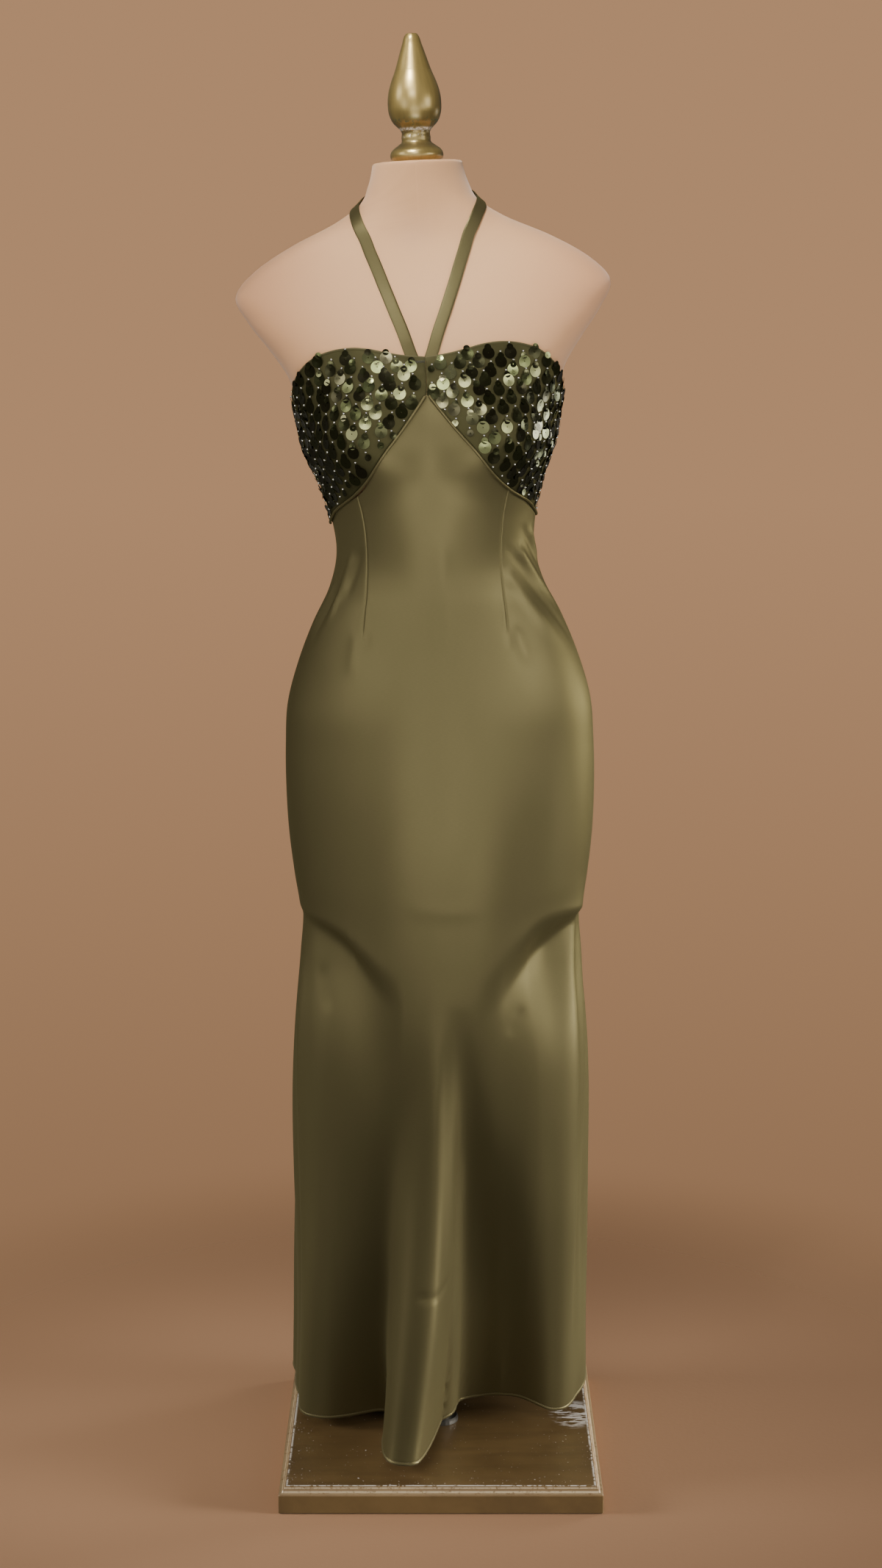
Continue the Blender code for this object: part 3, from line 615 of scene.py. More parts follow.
# Marks on the finial, each the height of its middle and half its own height
BEAD_SHADE = (0.0170, 0.0075)
RESIDUE = (0.0400, 0.0080)
PALE_RING = (0.0338, 0.0026)
NECK_CHIPS = (0.0285, 0.0055)
TURNED_SEAM = (0.0945, 0.0006)
# Marks on the board: the middle and half the width of each line, and where the scrape lies
COVE = (0.0245, 0.0020)
LEDGE = (0.0282, 0.0012)
RIM_WEAR = (0.1712, 0.0022)
SCRAPE_STRETCH = (0.8, 0.55, 0.0)
SCRAPE_PLACE = (0.124, 0.0080, 0.0)
# The pit of the form's neck, where a patch of painted shade darkens the jersey
NECK_PIT = (-0.030, -0.055, 1.392)

# The stage. The floor is opaque within FLOOR_SOLID of the middle and gone at FLOOR_GONE, and
# painted shade darkens the backdrop towards the floor between two slopes of the view
FLOOR_SOLID = 0.40
FLOOR_GONE = 1.05
BACKDROP_DARK = -0.40
BACKDROP_LIGHT = -0.08
FLOOR_RADIUS = 7.0
FLOOR_SIDES = 64
AMBIENT_STRENGTH = 0.105
# Lamps: name, azimuth from the front towards +X, distance, height, height aimed at, width and
# height of the lamp, power, spread of its beam in degrees
LIGHTS = (
    ("rim_right_low", 115.0, 2.1, 0.70, 0.38, 0.6, 0.9, 2.0, 46.0),
    ("rim_right_high", 115.0, 2.1, 1.00, 0.80, 0.6, 0.7, 0.40, 38.0),
    ("side_right_low", 80.0, 2.1, 0.40, 0.08, 1.0, 0.5, 4.6, 37.0),
    ("side_right", 60.0, 2.1, 1.60, 1.00, 1.1, 0.7, 1.40, 38.0),
    ("front_right", 38.0, 2.2, 1.20, 0.90, 1.3, 0.9, 0.90, 44.0),
    ("front_high", -10.0, 2.1, 2.40, 1.20, 0.9, 0.4, 2.9, 74.0),
    ("front_low", 0.0, 2.2, 0.90, 0.95, 1.8, 1.1, 3.7, 86.0),
    ("front_bust", 4.0, 1.6, 0.24, 1.14, 1.8, 0.4, 1.3, 44.0),
    ("front_left", -44.0, 2.1, 1.30, 0.92, 1.4, 1.0, 1.3, 46.0),
    ("left_high", -72.0, 2.1, 2.20, 1.36, 0.8, 0.8, 1.1, 52.0),
    ("left_low", -85.0, 2.1, 0.80, -0.05, 0.6, 0.5, 2.2, 42.0),
    ("finial_top", -28.0, 1.0, 2.90, 1.62, 0.3, 0.5, 1.3, 16.0),
)


# ------------------------------------------------------------------ the body and the gown on it

def read_table(rows, where):
    """Every column of a table but the first, on a smooth curve through its rows."""
    table = np.array(rows)
    knots = table[:, 0]
    values = table[:, 1:]
    slopes = np.gradient(values, knots, axis=0)
    where = np.clip(where, knots[0], knots[-1])
    span = np.clip(np.searchsorted(knots, where, side="right") - 1, 0, len(knots) - 2)
    width = (knots[span + 1] - knots[span])[..., None]
    share = (where - knots[span])[..., None] / width
    rising = share * share * (3.0 - 2.0 * share)
    leaving = share * (1.0 - share) ** 2 * width
    arriving = share * share * (share - 1.0) * width
    level = values[span] * (1.0 - rising) + values[span + 1] * rising
    return np.moveaxis(level + slopes[span] * leaving + slopes[span + 1] * arriving, -1, 0)


def ease_in_out(share):
    share = np.clip(share, 0.0, 1.0)
    return share * share * (3.0 - 2.0 * share)


def bell(away, spread):
    """1 in the middle, falling smoothly to nothing a few spreads away."""
    return np.exp(-(away / spread) ** 2)


def run_length(points):
    """The distance along a line of points, from its first point to each."""
    steps = np.linalg.norm(np.diff(points, axis=0), axis=1)
    return np.concatenate(((0.0,), np.cumsum(steps)))


def angle_between(angle, other):
    return (angle - other + math.pi) % math.tau - math.pi


def bust_mounds(angle, height):
    spread = np.where(height > BUST_HEIGHT, BUST_RISE, BUST_FALL)
    upright = ((height - BUST_HEIGHT) / spread) ** 2
    mounds = np.zeros_like(angle)
    for side in (-1.0, 1.0):
        sideways = (angle_between(angle, side * BUST_ANGLE) / BUST_SPREAD) ** 2
        mounds = mounds + np.exp(-upright - sideways)
    return BUST_DEPTH * mounds


def skirt_folds(angle, height):
    depth = np.zeros_like(angle)
    for row, growth in zip(SKIRT_FOLDS, FOLD_GROWTHS):
        start, angle_top, angle_hem, width_top, width_hem, skew, fold_depth, flat = row
        share = np.clip((start - height) / (start - HEM_LOWEST), 0.0, 1.1)
        middle = np.radians(angle_top + (angle_hem - angle_top) * share)
        width = np.radians(width_top + (width_hem - width_top) * share)
        away = angle_between(angle, middle)
        width = width * (1.0 - np.sign(away) * skew * share)
        shape = ease_in_out((1.0 - np.abs(away) / width) / (1.0 - flat))
        depth = depth + fold_depth * shape * share ** growth
    return depth


def ease(angle, height):
    """How far the cloth stands off the body beyond its rest gap."""
    lift = np.zeros_like(angle)
    for middle, level, half_angle, half_height, amount in EASE:
        sideways = angle_between(angle, math.radians(middle)) / math.radians(half_angle)
        upright = (height - level) / half_height
        lift = lift + amount * ease_in_out(1.0 - np.hypot(sideways, upright))
    across = angle_between(angle, 0.0) / BRIDGE_ANGLE
    bridge = np.maximum(read_table(BRIDGE, height)[0], 0.0)
    return lift + bridge * np.exp(-across ** 4)


def body_point(angle, height):
    """Points of the upright body's surface."""
    half, middle, front, back, square = read_table(SECTIONS, height)
    deep = np.where(np.cos(angle) > 0.0, front, back)
    across = np.abs(np.sin(angle)) / half
    along = np.abs(np.cos(angle)) / deep
    radius = (across ** square + along ** square) ** (-1.0 / square)
    radius = radius + bust_mounds(angle, height) + skirt_folds(angle, height)
    return np.stack((radius * np.sin(angle), middle - radius * np.cos(angle), height), -1)


def body_slopes(angle, height):
    """How a point of the surface moves with its angle and with its height."""
    by_angle = body_point(angle + SLOPE_TURN, height) - body_point(angle - SLOPE_TURN, height)
    by_height = body_point(angle, height + SLOPE_RISE) - body_point(angle, height - SLOPE_RISE)
    return by_angle / (2.0 * SLOPE_TURN), by_height / (2.0 * SLOPE_RISE)


def unit(vectors):
    return vectors / np.linalg.norm(vectors, axis=-1, keepdims=True)


def body_normal(angle, height):
    along, up = body_slopes(angle, height)
    return unit(np.cross(along, up))


def lean(points):
    """The upright body bent over to the wearer's right, from LEAN_START upwards."""
    across, deep, height = points[..., 0], points[..., 1], points[..., 2]
    share = np.clip((height - LEAN_START) / LEAN_RUN, 0.0, 1.0)
    beyond = np.maximum(height - LEAN_START - LEAN_RUN, 0.0)
    shift = LEAN * (0.5 * LEAN_RUN * share * share + beyond)
    return np.stack((across - shift, deep, height + LEAN * share * across), -1)


def on_body(angle, height, lift):
    angle, height, lift = np.broadcast_arrays(angle, height, lift)
    return lean(body_point(angle, height) + body_normal(angle, height) * lift[..., None])


def on_gown(angle, height, lift):
    angle, height, lift = np.broadcast_arrays(angle, height, lift)
    return on_body(angle, height, lift + ease(angle, height))


def under_seam(angle):
    return read_table(UNDER_SEAM, np.degrees(np.abs(angle)))[0]


def top_edge(angle):
    return read_table(TOP_EDGE, np.degrees(np.abs(angle)))[0]


def hem_line(angle):
    return read_table(HEM_LINE, np.degrees(angle))[0]


def cloth_angle(share, height, first, last):
    """The angle at a share of the cloth's own width between two seams."""
    samples = np.linspace(first, last, ARC_SAMPLES)
    levels = np.linspace(HEM_LOWEST, FOLDS_TOP, ARC_LEVELS)
    by_length = []
    for level in levels:
        length = run_length(body_point(samples, np.full_like(samples, level)))
        by_length.append(np.interp(share, length / length[-1], samples))
    by_length = np.array(by_length)
    place = np.clip((height - levels[0]) / (levels[1] - levels[0]), 0.0, ARC_LEVELS - 1.001)
    lower = place.astype(int)
    beyond = place - lower
    column = np.arange(share.size)
    along = by_length[lower, column] * (1.0 - beyond) + by_length[lower + 1, column] * beyond
    blend = ease_in_out((height - GRAIN_BLEND_START) / (FOLDS_TOP - GRAIN_BLEND_START))
    return along * (1.0 - blend) + (first + (last - first) * share) * blend


def local_radius(angle, height):
    """The distance from the section's own middle to the surface."""
    points = body_point(angle, height)
    return np.hypot(points[..., 0], points[..., 1] - read_table(SECTIONS, height)[1])


# ------------------------------------------------------------------ creases, darts and edges

def crease_line(row):
    """Points along a crease, in metres about its own middle place."""
    angle_1, height_1, angle_2, height_2, angle_3, height_3 = row[:6]
    radius = local_radius(np.radians([angle_2]), np.array([height_2]))[0]
    ends = np.array(((math.radians(angle_1 - angle_2) * radius, height_1 - height_2),
                     (0.0, 0.0),
                     (math.radians(angle_3 - angle_2) * radius, height_3 - height_2)))
    control = 2.0 * ends[1] - 0.5 * (ends[0] + ends[2])
    share = np.linspace(0.0, 1.0, CREASE_STEPS + 1)[:, None]
    line = (1 - share) ** 2 * ends[0] + 2 * share * (1 - share) * control + share ** 2 * ends[2]
    return line, radius


def nearest_on_line(line, place):
    """The distance of each place from a line, its share of the way along, and its side."""
    distance = np.full(len(place), np.inf)
    along = np.zeros(len(place))
    side = np.zeros(len(place))
    for step, (start, stop) in enumerate(zip(line, line[1:])):
        run = stop - start
        away = place - start
        share = np.clip(away @ run / (run @ run), 0.0, 1.0)
        gap = away - share[:, None] * run
        here = np.hypot(gap[:, 0], gap[:, 1])
        closer = here < distance
        distance[closer] = here[closer]
        along[closer] = (step + share[closer]) / CREASE_STEPS
        side[closer] = run[0] * gap[closer, 1] - run[1] * gap[closer, 0]
    return distance, along, side


def creases(angle, height):
    """How far the satin's soft folds stand out from its plain form."""
    stand_out = np.zeros_like(angle)
    for row in CREASES:
        stand, spread_right, spread_left = row[6:]
        line, radius = crease_line(row)
        across = angle_between(angle, math.radians(row[2])) * radius
        above = height - row[3]
        reach = CREASE_REACH * max(spread_right, spread_left)
        low, high = line.min(axis=0) - reach, line.max(axis=0) + reach
        near = (across > low[0]) & (across < high[0]) & (above > low[1]) & (above < high[1])
        if not near.any():
            continue
        distance, along, side = nearest_on_line(line, np.stack((across[near], above[near]), -1))
        spread = np.where(side > 0.0, spread_left, spread_right)
        taper = ease_in_out(along / CREASE_FADE) * ease_in_out((1.0 - along) / CREASE_FADE)
        stand_out[near] += stand * taper * bell(distance, spread)
    return stand_out


def under_form(angle, height):
    """The drop inward below the form's lower edge, which fades out down the skirt."""
    turned = np.degrees(angle_between(angle, 0.0))
    middle, depth, rise = read_table(UNDER_FORM, turned)
    drop = ease_in_out((middle - height) / rise + 0.5)
    fade = bell(np.maximum(middle - height, 0.0), UNDER_FORM_FADE)
    return -np.maximum(depth, 0.0) * drop * fade


def valley(angle, height):
    """The deep hollow between the front fold and the wearer's left side."""
    middle, depth, fold_spread, side_spread = read_table(VALLEY, height)
    away = angle_between(angle, np.radians(middle)) * local_radius(np.radians(middle), height)
    spread = np.where(away > 0.0, side_spread, fold_spread)
    return -depth * bell(away, spread)


def wander(angle, height):
    """Long slow waves, which keep the satin from lying quite even."""
    free = 1.0 + (WANDER_FREE - 1.0) * ease_in_out((FORM_BOTTOM - height) / WANDER_BLEND)
    total = np.zeros_like(angle)
    for turns, waves, phase, amount in WANDER:
        total = total + amount * np.sin(turns * angle + math.tau * waves * height + phase)
    return total * free


def drape(angle, height):
    """The satin's relief, whose troughs stop short of the form and deepen freely below it."""
    stand_out = creases(angle, height) + under_form(angle, height) + wander(angle, height)
    stand_out = stand_out + valley(angle, height)
    room = TROUGH_ROOM + FREE_SLOPE * np.maximum(FORM_BOTTOM - FREE_START - height, 0.0)
    inward = np.maximum(-stand_out, 0.0)
    return np.maximum(stand_out, 0.0) - inward / (1.0 + (inward / room) ** 4) ** 0.25


def dart_angle(height, side):
    return np.radians(read_table(DARTS, height)[side])


def follow_darts(angle, height):
    """Columns near a dart moved so that one of them runs along its stitched line."""
    inside = ease_in_out((height - DART_BLEND_START) / (DART_END - DART_BLEND_START))
    for side, middle in enumerate(DART_MIDDLE):
        away = angle_between(angle, math.radians(middle))
        weight = bell(away, math.radians(DART_REACH))
        angle = angle + (dart_angle(height, side) - math.radians(middle)) * weight * inside
    return angle


def dart_grooves(angle, height):
    """The stitched lines of the darts, with a soft ridge to each side of the front ones."""
    radius = local_radius(angle, height)
    in_front = ease_in_out((height - DART_END) / DART_TAPER)
    behind = ease_in_out((height - BACK_DART_END) / DART_TAPER)
    relief = np.zeros_like(angle)
    for side in range(len(DART_MIDDLE)):
        away = angle_between(angle, dart_angle(height, side)) * radius
        relief = relief - DART_DEPTH * bell(away, DART_SPREAD) * in_front
        relief = relief + RIDGE_HEIGHT * bell(np.abs(away) - RIDGE_AWAY, RIDGE_SPREAD) * in_front
    for middle in BACK_DARTS:
        away = angle_between(angle, math.radians(middle)) * radius
        relief = relief - DART_DEPTH * bell(away, DART_SPREAD) * behind
    return relief


def spread_shares(count, width, first_steps, last_steps, lines=()):
    """Even shares from 0 to 1, with closer ones at both ends and at the given lines."""
    even = np.linspace(0.0, 1.0, count + 1)
    close = [0.0, 1.0]
    close += [step / width for step in first_steps]
    close += [1.0 - step / width for step in last_steps]
    for line in lines:
        close.append(line)
        close += [line + side * step / width for step in LINE_STEPS for side in (-1.0, 1.0)]
    close = np.array(close)
    clear = np.abs(even[:, None] - close[None, :]).min(axis=1) > CLEAR_STEP / width
    return np.sort(np.concatenate((even[clear], close)))


# ------------------------------------------------------------------ meshes

def add_piece(name, mesh, material, sharp_degrees=50.0):
    mesh.materials.append(material)
    mesh.shade_smooth()
    mesh.set_sharp_from_angle(angle=math.radians(sharp_degrees))
    piece = bpy.data.objects.new(name, mesh)
    bpy.context.scene.collection.objects.link(piece)
    return piece


def lay_uv(mesh, values):
    """A UV map named cloth, in metres, from a value for each vertex."""
    layer = mesh.uv_layers.new(name="cloth")
    corners = np.empty(len(mesh.loops), dtype=np.int32)
    mesh.loops.foreach_get("vertex_index", corners)
    layer.data.foreach_set("uv", np.ascontiguousarray(values[corners], dtype=np.float32).ravel())


def lay_values(mesh, name, values, kind="FLOAT"):
    """An attribute with a number, a whole number or a vector for each vertex."""
    key = "vector" if kind == "FLOAT_VECTOR" else "value"
    number = np.int32 if kind == "INT" else np.float32
    layer = mesh.attributes.new(name, kind, "POINT")
    layer.data.foreach_set(key, np.ascontiguousarray(values, dtype=number).ravel())


def outward(mesh):
    """Faces turned to point outwards."""
    work = bmesh.new()
    work.from_mesh(mesh)
    bmesh.ops.recalc_face_normals(work, faces=work.faces[:])
    work.to_mesh(mesh)
    work.free()


def grid_faces(rows, columns, closed=False):
    """Faces of a grid of points, row by row, with its columns joined round where it is closed."""
    last = columns if closed else columns - 1
    faces = []
    for row in range(rows - 1):
        lower = row * columns
        upper = lower + columns
        for column in range(last):
            following = (column + 1) % columns
            faces.append((lower + column, lower + following, upper + following, upper + column))
    return faces


def arc_uv(points):
    """Metres across from the middle column, and metres up, at each point of a grid."""
    across = np.linalg.norm(np.diff(points, axis=1), axis=2)
    across = np.concatenate((np.zeros((len(points), 1)), np.cumsum(across, axis=1)), axis=1)
    across = across - across[:, across.shape[1] // 2][:, None]
    return np.stack((across, points[..., 2]), -1)


def shell(name, grid, outer, inner, rim, material):
    """A closed thin shell of cloth, from the points of its outer and inner sides row by row."""
    rows, columns = grid
    count = rows * columns
    faces = grid_faces(rows, columns)
    faces += [tuple(count + corner for corner in face[::-1]) for face in faces]
    border = list(range(columns))
    border += [row * columns + columns - 1 for row in range(1, rows)]
    border += [(rows - 1) * columns + column for column in range(columns - 2, -1, -1)]
    border += [row * columns for row in range(rows - 2, 0, -1)]
    for here, following in zip(border, border[1:] + border[:1]):
        faces.append((following, here, here + count, following + count))
    mesh = bpy.data.meshes.new(name)
    mesh.from_pydata(np.concatenate((outer, inner)), [], faces)
    values = arc_uv(outer.reshape(rows, columns, 3)).reshape(-1, 2)
    lay_uv(mesh, np.tile(values, (2, 1)))
    lay_values(mesh, "rim", np.tile(rim, 2))
    return add_piece(name, mesh, material)


def lofted(name, rings, material, values=None, rim=None, sharp_degrees=50.0):
    """A closed form through rings of points, capped at both ends."""
    rings = np.asarray(rings)
    rows, columns = rings.shape[:2]
    faces = grid_faces(rows, columns, closed=True)
    faces.append(tuple(range(columns))[::-1])
    faces.append(tuple((rows - 1) * columns + column for column in range(columns)))
    mesh = bpy.data.meshes.new(name)
    mesh.from_pydata(rings.reshape(-1, 3), [], faces)
    outward(mesh)
    if values is not None:
        lay_uv(mesh, values.reshape(-1, 2))
    if rim is not None:
        lay_values(mesh, "rim", rim)
    return add_piece(name, mesh, material, sharp_degrees)


def cord(name, centres, normals, radius, material, sides=12):
    """A round cord along a path, closed at both ends by small domes."""
    along = unit(np.gradient(centres, axis=0))
    across = unit(np.cross(along, normals))
    out = unit(np.cross(across, along))
    turns = np.arange(sides) * math.tau / sides
    length = run_length(centres)
    domes = ((-0.92, 0.40), (-0.55, 0.83))
    rings, values = [], []

    def ring(index, shift, scale):
        middle = centres[index] + along[index] * shift * radius
        round_it = across[index] * np.cos(turns)[:, None] + out[index] * np.sin(turns)[:, None]
        rings.append(middle + round_it * radius * scale)
        values.append(np.stack((turns * radius, np.full(sides, length[index])), -1))

    for shift, scale in domes:
        ring(0, shift, scale)
    for index in range(len(centres)):
        ring(index, 0.0, 1.0)
    for shift, scale in domes[::-1]:
        ring(len(centres) - 1, -shift, scale)
    return lofted(name, rings, material, np.array(values), sharp_degrees=80.0)


# ------------------------------------------------------------------ finishes

def shade(colour, share):
    """The colour made darker, or lighter where the share is over 1."""
    return tuple(share * part for part in colour)


class Nodes:
    """A node tree under construction. Sockets and plain values both feed its nodes."""

    def __init__(self, tree):
        self.tree = tree

    def feed(self, socket, value):
        if isinstance(value, bpy.types.NodeSocket):
            self.tree.links.new(value, socket)
        elif socket.type == "RGBA" and len(value) == 3:
            socket.default_value = (*value, 1.0)
        else:
            socket.default_value = value

    def node(self, kind, feeds=None, **settings):
        made = self.tree.nodes.new(kind)
        for key, value in settings.items():
            setattr(made, key, value)
        for key, value in (feeds or {}).items():
            self.feed(made.inputs[key], value)
        return made

    def calc(self, operation, *values):
        made = self.node("ShaderNodeMath", operation=operation)
        for socket, value in zip(made.inputs, values):
            self.feed(socket, value)
        return made.outputs[0]

    def times(self, first, second):
        return self.calc("MULTIPLY", first, second)

    def mix(self, factor, first, second):
        made = self.node("ShaderNodeMix", {0: factor, 6: first, 7: second}, data_type="RGBA")
        return made.outputs[2]


class Finish(Nodes):
    """A material under construction."""

    def __init__(self, name):
        self.material = bpy.data.materials.new(name)
        self.material.use_nodes = True
        super().__init__(self.material.node_tree)

    def window(self, value, start, stop):
        """0 before start, 1 after stop and smooth between them."""
        return self.node("ShaderNodeMapRange", {
            "Value": value, "From Min": start, "From Max": stop},
            interpolation_type="SMOOTHSTEP").outputs["Result"]

    def between(self, value, middle, half):
        """1 at the middle, falling to 0 at half to either side."""
        return self.window(self.calc("ABSOLUTE", self.calc("SUBTRACT", value, middle)), half, 0.0)

    def tint(self, colour, other, where, strength):
        """The other colour laid over the colour, by the field times the strength."""
        return self.mix(self.times(where, strength), colour, other)

    def varied(self, base, field, amount):
        return self.calc("MULTIPLY_ADD", field, amount, base)

    def scaled(self, where, scale):
        return self.node("ShaderNodeVectorMath", {0: where, 1: scale},
                         operation="MULTIPLY").outputs[0]

    def distance(self, where, place):
        return self.node("ShaderNodeVectorMath", {0: where, 1: place},
                         operation="DISTANCE").outputs["Value"]

    def noise(self, where, scale, detail=2.0, roughness=0.5):
        """Noise whose cells have the given count a metre along each axis."""
        if not isinstance(scale, tuple):
            scale = (scale, scale, scale)
        return self.node("ShaderNodeTexNoise", {
            "Vector": self.scaled(where, scale), "Scale": 1.0, "Detail": detail,
            "Roughness": roughness}).outputs["Fac"]

    def objects(self):
        return self.node("ShaderNodeTexCoord").outputs["Object"]

    def uv(self):
        return self.node("ShaderNodeUVMap", uv_map="cloth").outputs["UV"]

    def parts(self, where):
        return self.node("ShaderNodeSeparateXYZ", {"Vector": where}).outputs

    def attribute(self, name, output="Fac"):
        return self.node("ShaderNodeAttribute", attribute_name=name).outputs[output]

    def bump(self, height, distance, strength):
        return self.node("ShaderNodeBump", {
            "Height": height, "Distance": distance, "Strength": strength}).outputs["Normal"]

    def surface(self, **sockets):
        shader = self.tree.nodes["Principled BSDF"]
        for key, value in sockets.items():
            self.feed(shader.inputs[key.replace("_", " ")], value)
        return self.material


def satin_finish(name, light, deep, roughness=0.46, glow=1.0):
    """Satin-backed crepe: crosswise slubs, a fine weave, and a sheen that runs across the warp."""
    finish = Finish(name)
    where = finish.uv()
    space = finish.objects()
    slubs = finish.noise(where, (170.0, 1900.0, 1.0), 3.0, 0.6)
    threads = finish.noise(where, (2600.0, 700.0, 1.0), 1.0)
    clouds = finish.noise(space, (7.0, 7.0, 3.0), 3.0, 0.55)
    shine = finish.noise(space, (16.0, 16.0, 5.0), 2.0)
    colour = finish.mix(finish.window(clouds, 0.30, 0.72), deep, light)
    colour = finish.tint(colour, shade(light, 1.6), finish.window(slubs, 0.35, 0.75), 0.10)
    colour = finish.tint(colour, RIM_GREY, finish.attribute("rim"), 0.75)
    weave = finish.calc("ADD", slubs, finish.times(threads, 0.5))
    tangent = finish.node("ShaderNodeTangent", direction_type="UV_MAP", uv_map="cloth")
    return finish.surface(
        Base_Color=colour, Roughness=finish.varied(roughness - 0.06, shine, 0.12),
        Normal=finish.bump(weave, 0.00006, 0.5), Tangent=tangent.outputs["Tangent"],
        Anisotropic=0.30, Metallic=0.60, Specular_IOR_Level=0.12, Specular_Tint=SATIN_GLOSS,
        Sheen_Weight=0.04 * glow, Sheen_Roughness=0.40, Sheen_Tint=SATIN_SHEEN)


def paillette_finish():
    """Dark olive mirrored plastic with faint pressed rings."""
    finish = Finish("olive_black_paillette")
    place = finish.parts(finish.attribute("disc_place", "Vector"))
    reach = finish.calc("SQRT", finish.calc("ADD", finish.calc("POWER", place[0], 2.0),
                                            finish.calc("POWER", place[1], 2.0)))
    rings = finish.calc("SINE", finish.times(reach, math.tau / RING_PITCH))
    scratches = finish.noise(finish.objects(), 900.0, 2.0)
    colour = finish.mix(finish.attribute("tone"), PAILLETTE, PAILLETTE_BROWN)
    return finish.surface(
        Base_Color=colour, Metallic=1.0, Roughness=finish.varied(0.12, scratches, 0.10),
        Normal=finish.bump(rings, 0.00001, 0.20))


def bead_finish():
    finish = Finish("silver_lined_bead")
    glints = finish.noise(finish.objects(), 1400.0, 1.0)
    return finish.surface(Base_Color=finish.mix(glints, SILVER, SILVER_DARK), Metallic=0.85,
                          Roughness=finish.varied(0.12, glints, 0.15),
                          Coat_Weight=1.0, Coat_Roughness=0.05)


def thread_finish(name, colour):
    finish = Finish(name)
    twist = finish.noise(finish.objects(), (3000.0, 3000.0, 1500.0), 1.0)
    return finish.surface(Base_Color=finish.mix(twist, shade(colour, 0.7), colour),
                          Roughness=0.75, Normal=finish.bump(twist, 0.0001, 0.6),
                          Sheen_Weight=0.3)


def jersey_finish():
    """Fine vertical knit, rosier towards the sides of the shoulders, with painted shade in soft bands on the neck."""
    finish = Finish("form_jersey_knit")
    where = finish.uv()
    space = finish.objects()
    place = finish.parts(space)
    wales = finish.noise(where, (900.0, 60.0, 1.0), 2.0, 0.6)
    courses = finish.noise(where, (1200.0, 1500.0, 1.0), 1.0)
    clouds = finish.noise(space, 11.0, 3.0, 0.55)
    beside = finish.calc("ABSOLUTE", finish.calc("ADD", place[0], 0.016))
    colour = finish.tint(JERSEY_PINK, JERSEY_CLOUD, clouds, 0.35)
    colour = finish.tint(colour, JERSEY_ROSE, finish.window(beside, 0.060, 0.205), 0.62)
    colour = finish.tint(colour, JERSEY_WALE, finish.window(wales, 0.45, 0.75), 0.14)
    # Painted shade in the pit of the neck
    pit_shade = finish.window(finish.distance(space, NECK_PIT), 0.034, 0.0)
    colour = finish.tint(colour, JERSEY_HOLLOW_SHADE, pit_shade, 0.30)
    # Painted shade on the neck, in soft vertical bands
    neck_shade_amount = finish.varied(0.28, finish.noise(where, (26.0, 1.2, 1.0), 2.0), 0.6)
    colour = finish.tint(colour, JERSEY_NECK_SHADE, finish.window(place[2], 1.370, 1.430), neck_shade_amount)
    knit = finish.calc("ADD", wales, finish.times(courses, 0.7))
    return finish.surface(
        Base_Color=colour, Roughness=finish.varied(0.62, clouds, 0.12),
        Normal=finish.bump(knit, 0.00010, 0.5), Sheen_Weight=0.35, Sheen_Roughness=0.5,
        Sheen_Tint=JERSEY_SHEEN, Specular_IOR_Level=0.35)


def gold_finish():
    """Hand-painted gold: brushed streaks, green residue under the bulb and white chips."""
    finish = Finish("worn_gold_paint")
    where = finish.uv()
    space = finish.objects()
    rise = finish.parts(where)[1]
    streaks = finish.noise(where, (160.0, 14.0, 1.0), 3.0, 0.6)
    clouds = finish.noise(space, 45.0, 3.0, 0.6)
    fine = finish.noise(space, 520.0, 3.0, 0.65)
    flakes = finish.noise(space, 260.0, 4.0, 0.7)
    colour = finish.mix(finish.window(streaks, 0.25, 0.75), shade(GOLD, 0.72), GOLD)
    low = finish.times(finish.window(rise, 0.070, 0.036), 0.65)
    colour = finish.tint(colour, GOLD_DULL, low, clouds)
    colour = finish.tint(colour, GOLD_DARK, finish.between(rise, *BEAD_SHADE), 0.75)
    green = finish.times(finish.window(flakes, 0.52, 0.60), finish.between(rise, *RESIDUE))
    colour = finish.mix(green, colour, GREEN_RESIDUE)
    pale_ring = finish.times(finish.between(rise, *PALE_RING), finish.window(fine, 0.38, 0.56))
    neck = finish.times(finish.between(rise, *NECK_CHIPS), finish.window(flakes, 0.55, 0.60))
    specks = finish.times(finish.window(fine, 0.72, 0.76), finish.window(rise, 0.060, 0.020))
    chips = finish.calc("MAXIMUM", pale_ring, finish.calc("MAXIMUM", neck, specks))
    colour = finish.mix(chips, colour, CHIP_WHITE)
    seam = finish.between(rise, *TURNED_SEAM)
    height = finish.calc("SUBTRACT", finish.times(streaks, 0.25),
                         finish.calc("ADD", seam, finish.times(chips, 0.8)))
    rough = finish.calc("ADD", finish.varied(0.26, clouds, 0.14), finish.times(chips, 0.35))
    metal = finish.varied(0.72, finish.calc("MAXIMUM", chips, green), -0.72)
    return finish.surface(Base_Color=colour, Metallic=metal, Roughness=rough,
                          Normal=finish.bump(height, 0.00025, 0.6), Coat_Weight=0.35,
                          Coat_Roughness=0.18)


